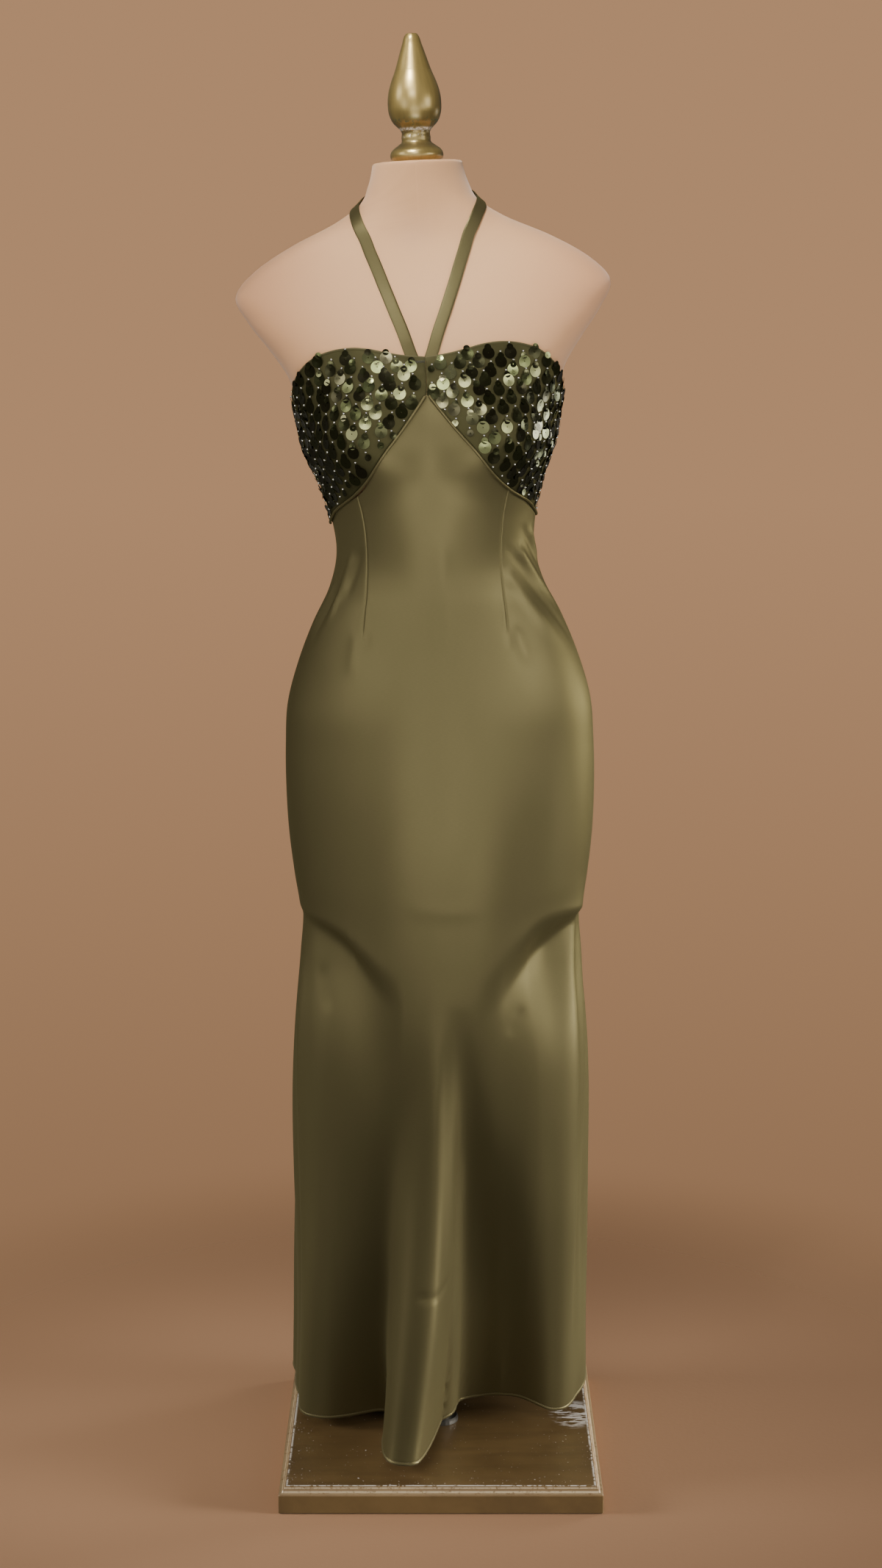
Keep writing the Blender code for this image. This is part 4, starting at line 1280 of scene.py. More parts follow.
def board_finish():
    """Bronze paint over white primer, worn through along the edges and in small chips."""
    finish = Finish("worn_board_paint")
    space = finish.objects()
    place = finish.parts(space)
    wide = finish.calc("MAXIMUM", finish.calc("ABSOLUTE", place[0]),
                       finish.calc("ABSOLUTE", place[1]))
    grain = finish.noise(space, (9.0, 60.0, 60.0), 3.0, 0.6)
    clouds = finish.noise(space, 14.0, 4.0, 0.6)
    ragged = finish.noise(space, 190.0, 4.0, 0.7)
    dots = finish.noise(space, 330.0, 2.0, 0.5)
    slow = finish.noise(space, 22.0, 2.0)
    top = finish.window(place[2], 0.0294, 0.0299)
    colour = finish.mix(finish.window(clouds, 0.30, 0.70), BOARD_BROWN, BOARD_BRONZE)
    colour = finish.tint(colour, BOARD_GRAIN, finish.window(grain, 0.4, 0.7), 0.25)
    edge = finish.mix(finish.window(clouds, 0.35, 0.70), BOARD_GOLD, BOARD_GOLD_DEEP)
    colour = finish.mix(top, edge, colour)
    cove = finish.times(finish.between(place[2], *COVE), finish.window(ragged, 0.30, 0.50))
    colour = finish.tint(colour, CREAM, cove, 0.85)
    ledge = finish.times(finish.between(place[2], *LEDGE), finish.window(ragged, 0.36, 0.52))
    colour = finish.tint(colour, CREAM, ledge, 0.75)
    rim = finish.times(finish.between(wide, *RIM_WEAR), top)
    uneven = finish.calc("ADD", ragged, finish.times(slow, 0.35))
    rim = finish.times(rim, finish.window(uneven, 0.60, 0.66))
    near_rim = finish.varied(0.735, finish.window(wide, 0.120, 0.170), -0.035)
    specks = finish.times(finish.calc("GREATER_THAN", dots, near_rim), top)
    drawn = finish.noise(space, (34.0, 150.0, 1.0), 4.0, 0.65)
    away = finish.distance(finish.scaled(space, SCRAPE_STRETCH), SCRAPE_PLACE)
    scrape = finish.times(finish.window(away, 0.024, 0.014), finish.window(drawn, 0.50, 0.53))
    scrape = finish.times(scrape, top)
    chips = finish.calc("MAXIMUM", finish.calc("MAXIMUM", rim, specks), scrape)
    colour = finish.mix(chips, colour, CHIP_WHITE)
    height = finish.calc("SUBTRACT", finish.times(grain, 0.4), chips)
    rough = finish.calc("ADD", finish.varied(0.36, clouds, 0.18), finish.times(chips, 0.30))
    return finish.surface(Base_Color=colour, Roughness=rough, Metallic=0.15,
                          Normal=finish.bump(height, 0.0003, 0.6), Coat_Weight=0.15,
                          Coat_Roughness=0.35)


def steel_finish():
    finish = Finish("brushed_pole_steel")
    space = finish.objects()
    turned = finish.noise(space, (40.0, 40.0, 2200.0), 3.0, 0.6)
    smudge = finish.noise(space, 30.0, 3.0)
    # Darkened steel: painted shade for the pole under the skirt
    return finish.surface(Base_Color=finish.mix(smudge, STEEL, STEEL_SMUDGED_SHADED), Metallic=0.95,
                          Roughness=finish.varied(0.36, smudge, 0.2),
                          Normal=finish.bump(turned, 0.00005, 0.3))


SATIN = satin_finish("olive_satin_cloth", OLIVE, OLIVE_DEEP)
# The straps take a darker copy of the satin, which paints shade on them
STRAP_SATIN_SHADED = satin_finish("strap_satin_cloth", STRAP_OLIVE_SHADED, STRAP_DEEP_SHADED)
# The sequins' ground is darkened as painted shade under the sequins
GROUND = satin_finish("sequin_ground_cloth", GROUND_OLIVE_SHADED, GROUND_DEEP_SHADED, 0.55, 0.8)
PAILLETTE_GLOSS = paillette_finish()
BEAD_SILVER = bead_finish()
OLIVE_THREAD = thread_finish("olive_thread", THREAD_OLIVE)
DARK_THREAD = thread_finish("dark_olive_thread", THREAD_DARK)
JERSEY = jersey_finish()
GOLD_PAINT = gold_finish()
BOARD_PAINT = board_finish()
POLE_STEEL = steel_finish()


# ------------------------------------------------------------------ growths

class Growth(Nodes):
    """A geometry tree with named inputs, which grows small pieces from a seed mesh."""

    def __init__(self, name, inputs):
        super().__init__(bpy.data.node_groups.new(name, "GeometryNodeTree"))
        face = self.tree.interface
        face.new_socket("Geometry", in_out="INPUT", socket_type="NodeSocketGeometry")
        kinds = {int: "NodeSocketInt", float: "NodeSocketFloat"}
        for title, value in inputs.items():
            kind = kinds.get(type(value), "NodeSocketMaterial")
            socket = face.new_socket(title, in_out="INPUT", socket_type=kind)
            if kind != "NodeSocketMaterial":
                socket.default_value = value
        face.new_socket("Geometry", in_out="OUTPUT", socket_type="NodeSocketGeometry")
        self.inputs = inputs
        self.start = self.node("NodeGroupInput").outputs
        self.end = self.node("NodeGroupOutput").inputs

    def attribute(self, name, kind):
        made = self.node("GeometryNodeInputNamedAttribute", {"Name": name}, data_type=kind)
        return made.outputs["Attribute"]

    def coated(self, instances, finish):
        """The instances made real, in the finish."""
        real = self.node("GeometryNodeRealizeInstances", {"Geometry": instances})
        return self.node("GeometryNodeSetMaterial", {
            "Geometry": real.outputs["Geometry"], "Material": finish}).outputs["Geometry"]

    def grow(self, name, seed_mesh):
        """The grown pieces as one plain mesh."""
        carrier = bpy.data.objects.new(name, seed_mesh)
        bpy.context.scene.collection.objects.link(carrier)
        modifier = carrier.modifiers.new("Growth", "NODES")
        modifier.node_group = self.tree
        for item in self.tree.interface.items_tree:
            if item.in_out == "INPUT" and item.name in self.inputs:
                modifier[item.identifier] = self.inputs[item.name]
        graph = bpy.context.evaluated_depsgraph_get()
        grown = bpy.data.meshes.new_from_object(carrier.evaluated_get(graph),
                                                preserve_all_data_layers=True, depsgraph=graph)
        carrier.modifiers.clear()
        carrier.data = grown
        grown.name = name
        grown.shade_smooth()
        grown.set_sharp_from_angle(angle=math.radians(40.0))
        return carrier


def disc(growth, radius, sides):
    """A pressed sequin: a washer whose rim lies a little lower than its hole."""
    hole, thickness = growth.start["Hole Radius"], growth.start["Sequin Thickness"]
    middle = growth.times(growth.calc("ADD", radius, hole), 0.5)
    path = growth.node("GeometryNodeCurvePrimitiveCircle", {"Resolution": sides, "Radius": middle})
    section = growth.node("GeometryNodeCurvePrimitiveQuadrilateral", {
        "Width": growth.calc("SUBTRACT", radius, hole), "Height": thickness})
    tipped = growth.node("GeometryNodeTransform", {
        "Geometry": section.outputs["Curve"], "Rotation": (0.0, 0.0, math.radians(SEQUIN_CUP))})
    made = growth.node("GeometryNodeCurveToMesh", {
        "Curve": path.outputs["Curve"], "Profile Curve": tipped.outputs["Geometry"]})
    place = growth.node("GeometryNodeInputPosition").outputs["Position"]
    return growth.node("GeometryNodeStoreNamedAttribute", {
        "Geometry": made.outputs["Mesh"], "Name": "disc_place", "Value": place},
        data_type="FLOAT_VECTOR", domain="POINT").outputs["Geometry"]


def sequin_growth():
    """Large and small sequins and beads, set on points that say their kind, turn and looseness."""
    growth = Growth("sequins", {
        "Large Radius": LARGE_RADIUS, "Small Radius": SMALL_RADIUS, "Bead Radius": BEAD_RADIUS,
        "Hole Radius": HOLE_RADIUS, "Sequin Thickness": SEQUIN_THICKNESS,
        "Large Sides": 22, "Small Sides": 14, "Tilt": math.radians(SEQUIN_TILT),
        "Seed": SEQUIN_SEED, "Sequin Finish": PAILLETTE_GLOSS, "Bead Finish": BEAD_SILVER})
    start = growth.start
    large = disc(growth, start["Large Radius"], start["Large Sides"])
    small = disc(growth, start["Small Radius"], start["Small Sides"])
    bead = growth.node("GeometryNodeMeshUVSphere", {
        "Segments": 8, "Rings": 6, "Radius": start["Bead Radius"]}).outputs["Mesh"]
    kind = growth.attribute("kind", "INT")
    turn = growth.node("FunctionNodeEulerToRotation",
                       {"Euler": growth.attribute("turn", "FLOAT_VECTOR")}).outputs["Rotation"]
    chance = growth.node("FunctionNodeRandomValue", {
        0: (-1.0, -1.0, -1.0), 1: (1.0, 1.0, 1.0), "Seed": start["Seed"]},
        data_type="FLOAT_VECTOR").outputs["Value"]
    amount = growth.times(start["Tilt"], growth.attribute("loose", "FLOAT"))
    swing = growth.node("ShaderNodeVectorMath", {0: chance, "Scale": amount}, operation="SCALE")
    tip = growth.node("FunctionNodeEulerToRotation", {"Euler": swing.outputs["Vector"]})
    turned = growth.node("FunctionNodeRotateRotation", {
        "Rotation": turn, "Rotate By": tip.outputs["Rotation"]}, rotation_space="LOCAL")
    tone = growth.node("FunctionNodeRandomValue", {
        "Min": 0.0, "Max": 1.0, "Seed": growth.calc("ADD", start["Seed"], 5.0)},
        data_type="FLOAT").outputs[1]
    joined = growth.node("GeometryNodeJoinGeometry")
    for number, instance, coat in ((LARGE, large, "Sequin Finish"), (SMALL, small, "Sequin Finish"),
                                   (BEAD, bead, "Bead Finish")):
        chosen = growth.node("FunctionNodeCompare", {2: kind, 3: number},
                             data_type="INT", operation="EQUAL").outputs["Result"]
        placed = growth.node("GeometryNodeInstanceOnPoints", {
            "Points": start["Geometry"], "Selection": chosen, "Instance": instance,
            "Rotation": turned.outputs["Rotation"]}).outputs["Instances"]
        toned = growth.node("GeometryNodeStoreNamedAttribute", {
            "Geometry": placed, "Name": "tone", "Value": tone},
            data_type="FLOAT", domain="INSTANCE").outputs["Geometry"]
        growth.feed(joined.inputs["Geometry"], growth.coated(toned, start[coat]))
    growth.feed(growth.end[0], joined.outputs["Geometry"])
    return growth


def stitch_growth(name):
    """Short stitches set end to end along a path."""
    growth = Growth(name, {"Pitch": STITCH_PITCH, "Stitch Length": STITCH_LENGTH,
                           "Stitch Radius": STITCH_RADIUS, "Thread": OLIVE_THREAD})
    start = growth.start
    path = growth.node("GeometryNodeMeshToCurve", {"Mesh": start["Geometry"]})
    spaced = growth.node("GeometryNodeResampleCurve", {
        "Curve": path.outputs["Curve"], "Length": start["Pitch"]}, mode="LENGTH")
    grain = growth.node("GeometryNodeMeshUVSphere", {"Segments": 6, "Rings": 5, "Radius": 0.5})
    thick = growth.times(start["Stitch Radius"], 2.0)
    size = growth.node("ShaderNodeCombineXYZ", {0: thick, 1: thick, 2: start["Stitch Length"]})
    sized = growth.node("GeometryNodeTransform", {
        "Geometry": grain.outputs["Mesh"], "Scale": size.outputs["Vector"]})
    along = growth.node("FunctionNodeAlignRotationToVector", {
        "Vector": growth.node("GeometryNodeInputTangent").outputs["Tangent"]}, axis="Z")
    placed = growth.node("GeometryNodeInstanceOnPoints", {
        "Points": spaced.outputs["Curve"], "Instance": sized.outputs["Geometry"],
        "Rotation": along.outputs["Rotation"]})
    growth.feed(growth.end[0], growth.coated(placed.outputs["Instances"], start["Thread"]))
    return growth


def path_mesh(name, points):
    mesh = bpy.data.meshes.new(name)
    mesh.from_pydata(points, [(index, index + 1) for index in range(len(points) - 1)], [])
    return mesh


# ------------------------------------------------------------------ the gown

def seam_trim(first, last, across, height):
    """Half a seam gap at each upright edge, as an angle."""
    trim_first = 0.5 * SEAM_GAP / local_radius(np.full_like(height, first), height)
    trim_last = 0.5 * SEAM_GAP / local_radius(np.full_like(height, last), height)
    return trim_first * (1.0 - across) - trim_last * across


def tuck(distance):
    """How far a seamed edge turns in, from its distance to the seam."""
    return -EDGE_TUCK * bell(np.maximum(distance, 0.0), TUCK_SPREAD)


def seamed_edges(to_seam, across, span):
    """How far a panel turns in towards its level seam and its two upright ones."""
    return tuck(to_seam) + tuck(across * span) + tuck((1.0 - across) * span)


def panel_grid(first, last, columns, lines, rows, height, foot_steps, head_steps):
    """Each point's shares across and up a panel, and the grid's rows and columns."""
    width = (last - first) * MEAN_RADIUS
    across_shares = spread_shares(columns, width, EDGE_STEPS, EDGE_STEPS, lines)
    up_shares = spread_shares(rows, height, foot_steps, head_steps)
    across, up = np.meshgrid(across_shares, up_shares)
    return across.ravel(), up.ravel(), across.shape


def skirt_shell(name, first, last, columns, lines=()):
    """A skirt panel, from its turned hem to the seam under the bodice."""
    across, up, grid = panel_grid(first, last, columns, lines, SKIRT_ROWS, SKIRT_LENGTH,
                                  HEM_STEPS, EDGE_STEPS)
    foot = hem_line(cloth_angle(across, np.full_like(across, HEM_LOWEST), first, last))
    head = under_seam(first + (last - first) * across) - SLANT_GAP
    height = foot + (head - foot) * up
    plain = cloth_angle(across, height, first, last)
    angle = follow_darts(plain, height) + seam_trim(first, last, across, height)
    span = local_radius(plain, height) * (last - first)
    above_hem = height - foot
    base = OUTSIDE + drape(angle, height)
    roll = HEM_BULGE * bell(above_hem - 0.5 * HEM_WIDTH, 0.5 * HEM_WIDTH)
    groove = -HEM_GROOVE * bell(above_hem - HEM_WIDTH - STITCH_ABOVE, GROOVE_SPREAD)
    edges = seamed_edges(head - height, across, span)
    stand = base + roll + groove + edges + dart_grooves(angle, height)
    outer = on_gown(angle, height, stand)
    inward = np.minimum(base - CLOTH, stand - THIN_CLOTH) - HEM_HOLLOW * roll
    inner = on_gown(angle, height, inward)
    return shell(name, grid, outer, inner, bell(above_hem, HEM_RIM), SATIN)


def bodice_shell(name, first, last, columns):
    """A panel of the sequins' ground, from the seam below it to its turned top edge."""
    across, up, grid = panel_grid(first, last, columns, (), BODICE_ROWS, BODICE_HEIGHT,
                                  EDGE_STEPS, TOP_STEPS)
    plain = first + (last - first) * across
    foot = under_seam(plain) + SLANT_GAP
    head = top_edge(plain)
    height = foot + (head - foot) * up
    span = local_radius(plain, height) * (last - first)
    angle = plain + seam_trim(first, last, across, height)
    from_top = head - height
    roll = TOP_BULGE * bell(from_top - TOP_ROLL, TOP_ROLL)
    groove = -TOP_GROOVE * bell(from_top - TOP_STITCH, GROOVE_SPREAD)
    from_centre = np.abs(angle) * local_radius(angle, height)
    ripple = np.sin(height * math.tau / PUCKER_LENGTH)
    pucker = PUCKER_HEIGHT * bell(from_centre, PUCKER_REACH) * ripple
    edges = seamed_edges(height - foot, across, span)
    outer = on_gown(angle, height, OUTSIDE + pucker + roll + groove + edges)
    inner = on_gown(angle, height, OUTSIDE - CLOTH + edges)
    return shell(name, grid, outer, inner, bell(from_top, TOP_RIM), GROUND)


def edge_share(side):
    """0 on the flat of a band, rising to 1 at its very edge."""
    return max(0.0, (abs(side) - FLAT_SHARE) / (1.0 - FLAT_SHARE))


def band(name, angle, height, width, section, material, lift=0.0):
    """A narrow band along a path on the body, from a closed section of side and stand."""
    slopes = np.stack(body_slopes(angle, height), axis=-1)
    path = body_point(angle, height)
    across = np.cross(np.gradient(path, axis=0), body_normal(angle, height))
    across = unit(across) * 0.5 * width
    step = (np.linalg.pinv(slopes) @ across[..., None])[..., 0]
    length = run_length(path)
    rings, values, rims = [], [], []
    for side, stand in section:
        rings.append(on_gown(angle + step[:, 0] * side, height + step[:, 1] * side, stand + lift))
        values.append(np.stack((np.full_like(length, side * 0.5 * width), length), -1))
        rims.append(np.full_like(length, edge_share(side) * BAND_RIM))
    return lofted(name, np.stack(rings, axis=1), material, np.stack(values, axis=1),
                  np.stack(rims, axis=1))


def strap_section():
    """Folded satin: rounded edges, a slight crown and a pressed line inside each edge."""
    upper, lower = [], []
    for side in np.linspace(-1.0, 1.0, 15):
        rounded = STRAP_UPPER * math.sqrt(1.0 - edge_share(side) ** 2)
        crown = STRAP_CROWN * (1.0 - side ** 2)
        pressed = STRAP_PRESS * bell(abs(side) - PRESS_SHARE, PRESS_SPREAD)
        upper.append((side, STRAP_MIDDLE + rounded + crown - pressed))
    for side in np.linspace(0.97, -0.97, 7):
        lower.append((side, STRAP_MIDDLE - STRAP_LOWER * math.sqrt(1.0 - abs(side) ** 8)))
    return upper + lower


def halter_strap(name, side):
    path = np.array(STRAP_PATH)
    rows = np.column_stack((np.linspace(0.0, 1.0, len(path)), path))
    angle, height = read_table(rows, np.linspace(0.0, 1.0, STRAP_POINTS))
    below = np.linspace(STRAP_TAIL, 0.0, 7)[:-1]
    slope = (angle[3] - angle[0]) / (height[3] - height[0])
    angle = np.concatenate((angle[0] - below * slope, angle))
    height = np.concatenate((height[0] - below, height))
    settle_start, settle_run = STRAP_SETTLE
    settled = ease_in_out((height - (STRAP_PATH[0][1] + settle_start)) / settle_run)
    return band(name, np.radians(angle * side + STRAP_SHIFT), height, STRAP_WIDTH,
                strap_section(), STRAP_SATIN_SHADED, -STRAP_SINK * (1.0 - settled))


def zip_section():
    """Two folded lips that meet in a groove."""
    groove = OUTSIDE + ZIP_LIFT + ZIP_GROOVE
    upper = []
    for side in np.linspace(-1.0, 1.0, 17):
        lip = abs(math.sin(math.pi * side)) ** 0.5
        upper.append((side, groove + (ZIP_THICKNESS - ZIP_GROOVE) * lip))
    lower = [(side, OUTSIDE + ZIP_BACK) for side in (0.9, 0.45, 0.0, -0.45, -0.9)]
    return upper + lower


def zip_lips():
    head = top_edge(np.array([CENTRE_BACK]))[0] - PART_GAP
    height = np.linspace(ZIP_FOOT, head, ZIP_POINTS)
    angle = np.full_like(height, CENTRE_BACK)
    return band("zip_lips", angle, height, ZIP_WIDTH, zip_section(), SATIN)


def cord_on_gown(name, angle, height, lift, radius, material, sides=12):
    centres = on_gown(angle, height, lift)
    normals = on_gown(angle, height, lift + 0.01) - centres
    return cord(name, centres, unit(normals), radius, material, sides)


def piping_cord(name, side):
    start, stop = (math.radians(end) for end in PIPING_ENDS)
    angle = np.linspace(start, SIDE_SEAM - stop, PIPING_POINTS) * side
    lift = OUTSIDE + PART_GAP + PIPING_RADIUS
    for shift, (amount, turn) in zip((0.0, side), PIPING_RIPPLES):
        lift = lift + amount * np.sin(np.linspace(0.0, turn, PIPING_POINTS) + shift)
    return cord_on_gown(name, angle, under_seam(angle), lift, PIPING_RADIUS, SATIN)


def hem_stitches(name, first, last):
    """The line of stitching that holds the turned hem."""
    across = np.linspace(0.004, 0.996, HEM_POINTS)
    foot = hem_line(cloth_angle(across, np.full_like(across, HEM_LOWEST), first, last))
    height = foot + HEM_WIDTH + STITCH_ABOVE
    angle = cloth_angle(across, height, first, last)
    lift = OUTSIDE + drape(angle, height) - STITCH_SINK
    return stitch_growth(name).grow(name, path_mesh(name, on_gown(angle, height, lift)))


def bar_tack():
    """A dense zigzag that holds both straps' ends behind the centre front."""
    angle = np.radians(np.linspace(*TACK_ENDS, TACK_TURNS))
    zigzag = np.where(np.arange(TACK_TURNS) % 2 == 0, TACK_HALF, -TACK_HALF)
    return cord_on_gown("bar_tack", angle, TACK_HEIGHT + zigzag, OUTSIDE + TACK_LIFT,
                        TACK_RADIUS, DARK_THREAD, 6)


# ------------------------------------------------------------------ the sequins

def column_angles(first, last):
    """Angles spaced by the columns' pitch, measured on the cloth from the first seam."""
    samples = np.linspace(first, last, 400)
    length = run_length(body_point(samples, np.full_like(samples, COLUMN_LEVEL)))
    places = np.arange(0.5 * COLUMN_PITCH, length[-1] - COLUMN_END, COLUMN_PITCH)
    return np.interp(places, length, samples)


def group_places(first, last, chance):
    """Angle, height, lift, kind, spin, tip and looseness of each sequin and bead on a panel."""
    places = []
    for number, column in enumerate(column_angles(first, last)):
        level = SEQUIN_TOP - (number % 2) * 0.5 * GROUP_PITCH
        while level > SEQUIN_FOOT:
            level -= GROUP_PITCH
            nudge = chance.uniform(-1.0, 1.0, 5)
            by_angle, by_height = body_slopes(np.array([column]), np.array([level]))
            turn_step = 1.0 / np.linalg.norm(by_angle)
            rise_step = 1.0 / np.linalg.norm(by_height)
            for kind, drop, swing_share, lift, top_room, foot_room, side_room, tip in GROUP:
                swing = nudge[2] * GROUP_SWING * swing_share
                height = level - (drop * math.cos(swing) - nudge[1] * NUDGE_UP) * rise_step
                angle = column + (drop * math.sin(swing) + nudge[0] * NUDGE_ACROSS) * turn_step
                highest = top_edge(np.array([angle]))[0] - top_room
                lowest = under_seam(np.array([angle]))[0] + foot_room
                beside = min(abs(angle - first), abs(angle - last)) / turn_step
                if not lowest < height < highest or beside < side_room:
                    continue
                spin = swing * SWING_FOLLOWED + nudge[3] * SEQUIN_SPIN
                beyond = ease_in_out((abs(math.degrees(angle)) - LOOSE_START) / LOOSE_RUN)
                loose = 1.0 + LOOSE_MORE * beyond
                places.append((angle, height, lift, kind, spin, math.radians(tip), loose))
    return np.array(places).T


def sequin_seeds(name, first, last, chance):
    """Points with the kind, turn and looseness of each sequin and bead on a bodice panel."""
    angle, height, lift, kind, spin, tip, loose = group_places(first, last, chance)
    stand = OUTSIDE + lift
    points = on_gown(angle, height, stand)
    ahead = on_gown(angle + 0.002, height, stand) - points
    above = on_gown(angle, height + 0.0005, stand) - points
    normal = unit(np.cross(ahead, above))
    above = unit(above - normal * (above * normal).sum(-1, keepdims=True))
    side = np.cross(above, normal)
    turns = []
    for axes, one_tip, one_spin in zip(np.stack((side, above, normal), -1), tip, spin):
        hung = Matrix(axes.tolist()) @ Euler((one_tip, 0.0, one_spin)).to_matrix()
        turns.append(hung.to_euler())
    mesh = bpy.data.meshes.new(name)
    mesh.from_pydata(points, [], [])
    lay_values(mesh, "kind", kind, "INT")
    lay_values(mesh, "turn", turns, "FLOAT_VECTOR")
    lay_values(mesh, "loose", loose)
    return mesh


# ------------------------------------------------------------------ the form, finial and base

def jersey_body():
    """The form's own surface, with a soft rim where the jersey turns over the neck."""
    heights = np.linspace(FORM_BOTTOM, NECK_TOP - NECK_ROUND, FORM_ROWS)
    turns = np.arange(FORM_COLUMNS) * math.tau / FORM_COLUMNS
    rings = [on_body(turns, height, -FORM_INSET) for height in heights]
    last = rings[-1]
    up = unit(np.array((-LEAN, 0.0, 1.0)))
    away = unit(last - last.mean(axis=0))
    for share in (0.25, 0.5, 0.75, 1.0):
        turn = share * math.pi / 2.0
        inset = away * NECK_ROUND * (1.0 - math.cos(turn))
        rings.append(last - inset + up * NECK_ROUND * math.sin(turn))
    rim = rings[-1]
    for share in (0.92, 0.7, 0.4, 0.12):
        rings.append(rim.mean(axis=0) + (rim - rim.mean(axis=0)) * share)
    rings = np.array(rings)
    radius = np.linalg.norm(np.diff(rings, axis=1), axis=2).mean(axis=1) * FORM_COLUMNS / math.tau
    across = np.tile(turns, (len(rings), 1)) * np.maximum(radius, 0.04)[:, None]
    return lofted("jersey_form", rings, JERSEY, np.stack((across, rings[..., 2]), -1))


def finial():
    """The turned finial, leaning with the form's neck."""
    rows = [(rise, radius) for radius, rise in FINIAL_PROFILE]
    rises = np.linspace(0.0, FINIAL_PROFILE[-1][1], 150)
    radii = read_table(rows, rises)[0]
    for groove in FINIAL_GROOVES:
        radii = radii - FINIAL_GROOVE_DEPTH * bell(rises - groove, FINIAL_GROOVE_SPREAD)
    turns = np.arange(ROUND_SIDES) * math.tau / ROUND_SIDES
    circle = np.stack((np.cos(turns), np.sin(turns), np.zeros_like(turns)), -1)
    rings = [circle * radius + (0.0, 0.0, rise) for rise, radius in zip(rises, radii)]
    for share in (0.86, 0.30):
        rings.append(circle * radii[-1] * share + (0.0, 0.0, rises[-1] + 0.0002))
    rings = np.array(rings)
    values = np.stack((np.tile(turns, (len(rings), 1)) * 0.02, rings[..., 2]), -1)
    turn = np.array(Matrix.Rotation(-math.atan(LEAN), 3, "Y"))
    foot = lean(np.array([0.0, NECK_MIDDLE_Y, NECK_TOP + PART_GAP]))
    return lofted("turned_finial", rings @ turn.T + foot, GOLD_PAINT, values, sharp_degrees=60.0)


def moulded_board():
    """The board with softened corners and finely stepped moulding."""
    profile = []
    for (half, height), (next_half, next_height) in zip(BOARD_EDGE, BOARD_EDGE[1:]):
        for share in (0.0, 0.25, 0.5, 0.75):
            profile.append((half + (next_half - half) * share,
                            height + (next_height - height) * share))
    profile.append(BOARD_EDGE[-1])
    profile += [(half, BOARD_TOP) for half in (0.1700, 0.12, 0.05)]
    rings = []
    for half, height in profile:
        ring = []
        for quarter in range(4):
            middle_x = (half - BOARD_CORNER) * (1.0 if quarter in (0, 3) else -1.0)
            middle_y = (half - BOARD_CORNER) * (1.0 if quarter in (0, 1) else -1.0)
            for turn in np.linspace(0.0, math.pi / 2.0, 4):
                angle = quarter * math.pi / 2.0 + turn
                ring.append((middle_x + BOARD_CORNER * math.cos(angle),
                             middle_y + BOARD_CORNER * math.sin(angle), height))
        rings.append(ring)
    return lofted("moulded_board", rings, BOARD_PAINT, sharp_degrees=14.0)


# ------------------------------------------------------------------ the stage

def camera():
    lens = bpy.data.cameras.new("camera")
    lens.sensor_width = SENSOR
    lens.lens = SENSOR * FOCAL_PIXELS / VIEW_HEIGHT
    lens.clip_end = CAMERA_REACH
    view = bpy.data.objects.new("camera", lens)
    view.location = CAMERA_PLACE
    view.rotation_euler = (math.pi / 2.0 - CAMERA_TILT, 0.0, 0.0)
    bpy.context.scene.collection.objects.link(view)
    bpy.context.scene.camera = view


def floor_finish():
    """A pale floor with painted shade darkening it to the right, which fades out with distance into the backdrop."""
    finish = Finish("pale_floor")
    space = finish.objects()
    reach = finish.distance(space, (0.0, 0.0, 0.0))
    colour = finish.mix(finish.noise(space, 1.6, 3.0), FLOOR, shade(FLOOR, 0.94))
    # Painted shade: the floor darkens towards the right
    beside = finish.window(finish.parts(space)[0], -0.4, 1.2)
    colour = finish.mix(beside, colour, shade(FLOOR, 0.52))
    grit = finish.bump(finish.noise(space, 180.0, 2.0), 0.0004, 0.3)
    return finish.surface(Base_Color=colour, Roughness=0.9, Specular_IOR_Level=0.1,
                          Alpha=finish.window(reach, FLOOR_GONE, FLOOR_SOLID), Normal=grit)


def floor():
    turns = np.arange(FLOOR_SIDES) * math.tau / FLOOR_SIDES
    ring = [(FLOOR_RADIUS * math.cos(turn), FLOOR_RADIUS * math.sin(turn), 0.0) for turn in turns]
    mesh = bpy.data.meshes.new("floor")
    mesh.from_pydata(ring, [], [tuple(range(FLOOR_SIDES))])
    piece = add_piece("floor", mesh, floor_finish())
    piece.visible_diffuse = False
    piece.visible_glossy = False
    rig.stage(piece)


def backdrop():
    """A plain colour to be seen, with painted shade darkening it towards the floor, and a weak warm light from all
    round.
    """
    world = bpy.data.worlds.new("studio")
    bpy.context.scene.world = world
    world.use_nodes = True
    studio = Nodes(world.node_tree)
    way = studio.node("ShaderNodeTexCoord").outputs["Generated"]
    rise = studio.node("ShaderNodeSeparateXYZ", {0: way}).outputs["Z"]
    fade = studio.node("ShaderNodeMapRange", {
        "Value": rise, "From Min": BACKDROP_DARK, "From Max": BACKDROP_LIGHT})
    seen = world.node_tree.nodes["Background"]
    # Painted shade: the backdrop's colour darkens towards the floor
    studio.feed(seen.inputs["Color"],
                studio.mix(fade.outputs["Result"], shade(BACKDROP, 0.58), BACKDROP))
    ambient = studio.node("ShaderNodeBackground", {"Color": AMBIENT, "Strength": AMBIENT_STRENGTH})
    by_camera = studio.node("ShaderNodeLightPath").outputs["Is Camera Ray"]
    mixer = studio.node("ShaderNodeMixShader", {
        0: by_camera, 1: ambient.outputs[0], 2: seen.outputs[0]})
    studio.feed(world.node_tree.nodes["World Output"].inputs["Surface"], mixer.outputs[0])


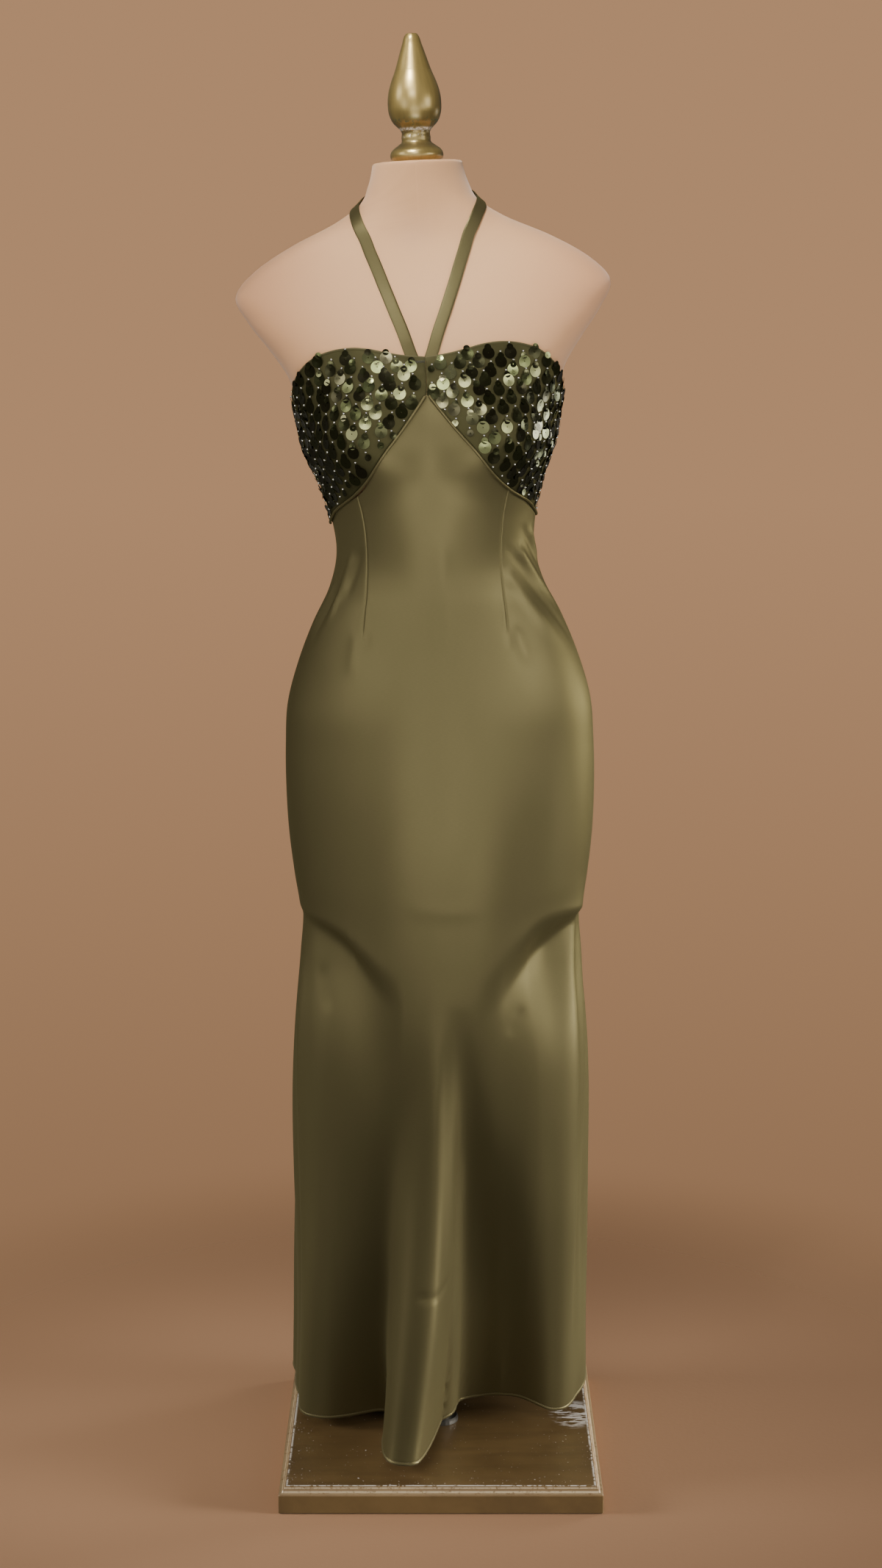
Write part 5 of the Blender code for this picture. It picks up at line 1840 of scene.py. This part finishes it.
def lamps():
    for name, azimuth, distance, level, aim, width, height, power, spread in LIGHTS:
        light = bpy.data.lights.new(name, "AREA")
        light.shape = "RECTANGLE"
        light.size = width
        light.size_y = height
        light.energy = power
        light.spread = math.radians(spread)
        light.color = LAMPLIGHT
        lamp = bpy.data.objects.new(name, light)
        turn = math.radians(azimuth)
        lamp.location = (distance * math.sin(turn), -distance * math.cos(turn), level)
        away = lamp.location - Vector((0.0, 0.0, aim))
        lamp.rotation_euler = away.to_track_quat("Z", "Y").to_euler()
        lamp.visible_camera = False
        bpy.context.scene.collection.objects.link(lamp)


def declare(piece, slot, *nodes):
    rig.ride(piece, "root")
    if nodes:
        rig.replaces(piece, *nodes)
    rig.slot(piece, slot)
    return piece


camera()
floor()
backdrop()
lamps()

declare(jersey_body(), "form_jersey", "torso_form")
declare(finial(), "gold_paint", "neck_finial")
declare(moulded_board(), "board_paint", "base_board")
for node in ("stand_pole", "pole_flange"):
    carried = frame["nodes"][node]
    carried.data.materials.clear()
    carried.data.materials.append(POLE_STEEL)

# The darts' lines as shares of their panels' widths
front_line = (DART_MIDDLE[0] + 90.0) / 180.0
back_line = (BACK_DARTS[1] - 90.0) / 90.0
front = declare(skirt_shell("front_satin", -SIDE_SEAM, SIDE_SEAM, FRONT_COLUMNS,
                            (front_line, 1.0 - front_line)), "olive_satin", "front_panel")
back_left = declare(skirt_shell("back_satin_left", SIDE_SEAM, CENTRE_BACK, BACK_COLUMNS,
                                (back_line,)), "olive_satin", "back_panel_left")
back_right = declare(skirt_shell("back_satin_right", -CENTRE_BACK, -SIDE_SEAM, BACK_COLUMNS,
                                 (1.0 - back_line,)), "olive_satin", "back_panel_right")
chance = np.random.default_rng(SEQUIN_SEED)
sequins = sequin_growth()
bodice = {}
for node, first, last, columns in (
        ("cup_left", 0.0, SIDE_SEAM, CUP_COLUMNS), ("cup_right", -SIDE_SEAM, 0.0, CUP_COLUMNS),
        ("back_bodice_left", SIDE_SEAM, CENTRE_BACK, BAND_COLUMNS),
        ("back_bodice_right", -CENTRE_BACK, -SIDE_SEAM, BAND_COLUMNS)):
    piece = declare(bodice_shell(node + "_ground", first, last, columns), "sequin_ground", node)
    grown = sequins.grow(node + "_sequins", sequin_seeds(node + "_sequins", first, last, chance))
    bodice[node] = (piece, declare(grown, "sequin_ground"))

straps = {}
for word, side in (("left", 1.0), ("right", -1.0)):
    declare(piping_cord("covered_piping_" + word, side), "olive_satin", "piping_" + word)
    straps[word] = declare(halter_strap("folded_strap_" + word, side), "olive_satin",
                           "halter_strap_" + word)
declare(zip_lips(), "olive_satin", "zip_strip")
declare(bar_tack(), "olive_satin")
stitches = [declare(hem_stitches("hem_stitches_front", -SIDE_SEAM, SIDE_SEAM), "olive_satin"),
            declare(hem_stitches("hem_stitches_left", SIDE_SEAM, CENTRE_BACK), "olive_satin"),
            declare(hem_stitches("hem_stitches_right", -CENTRE_BACK, -SIDE_SEAM), "olive_satin")]

rests = ["jersey_form"]
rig.sheet(front, flat=(0.62, 1.19), held="hung", area=0.585, rests_on=rests,
         with_pieces=[stitches[0]])
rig.sheet(back_left, flat=(0.32, 1.06), held="hung", area=0.270, rests_on=rests,
         with_pieces=[stitches[1]])
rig.sheet(back_right, flat=(0.32, 1.06), held="hung", area=0.270, rests_on=rests,
         with_pieces=[stitches[2]])
for node, flat, area in (("cup_left", (0.19, 0.18), 0.0200), ("cup_right", (0.19, 0.18), 0.0200),
                         ("back_bodice_left", (0.18, 0.14), 0.0170),
                         ("back_bodice_right", (0.18, 0.14), 0.0170)):
    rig.sheet(bodice[node][0], flat=flat, held="stretched", area=area, rests_on=rests,
             with_pieces=[bodice[node][1]])
for strap in straps.values():
    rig.sheet(strap, flat=(0.0135, 0.34), held="stretched", rests_on=rests)

size = {"cad": [list(map(float, corner)) for corner in CAD_BOX],
        "visual": [list(map(float, corner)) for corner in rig.bounds()]}
with open("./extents.json", "w") as file:
    json.dump(size, file)
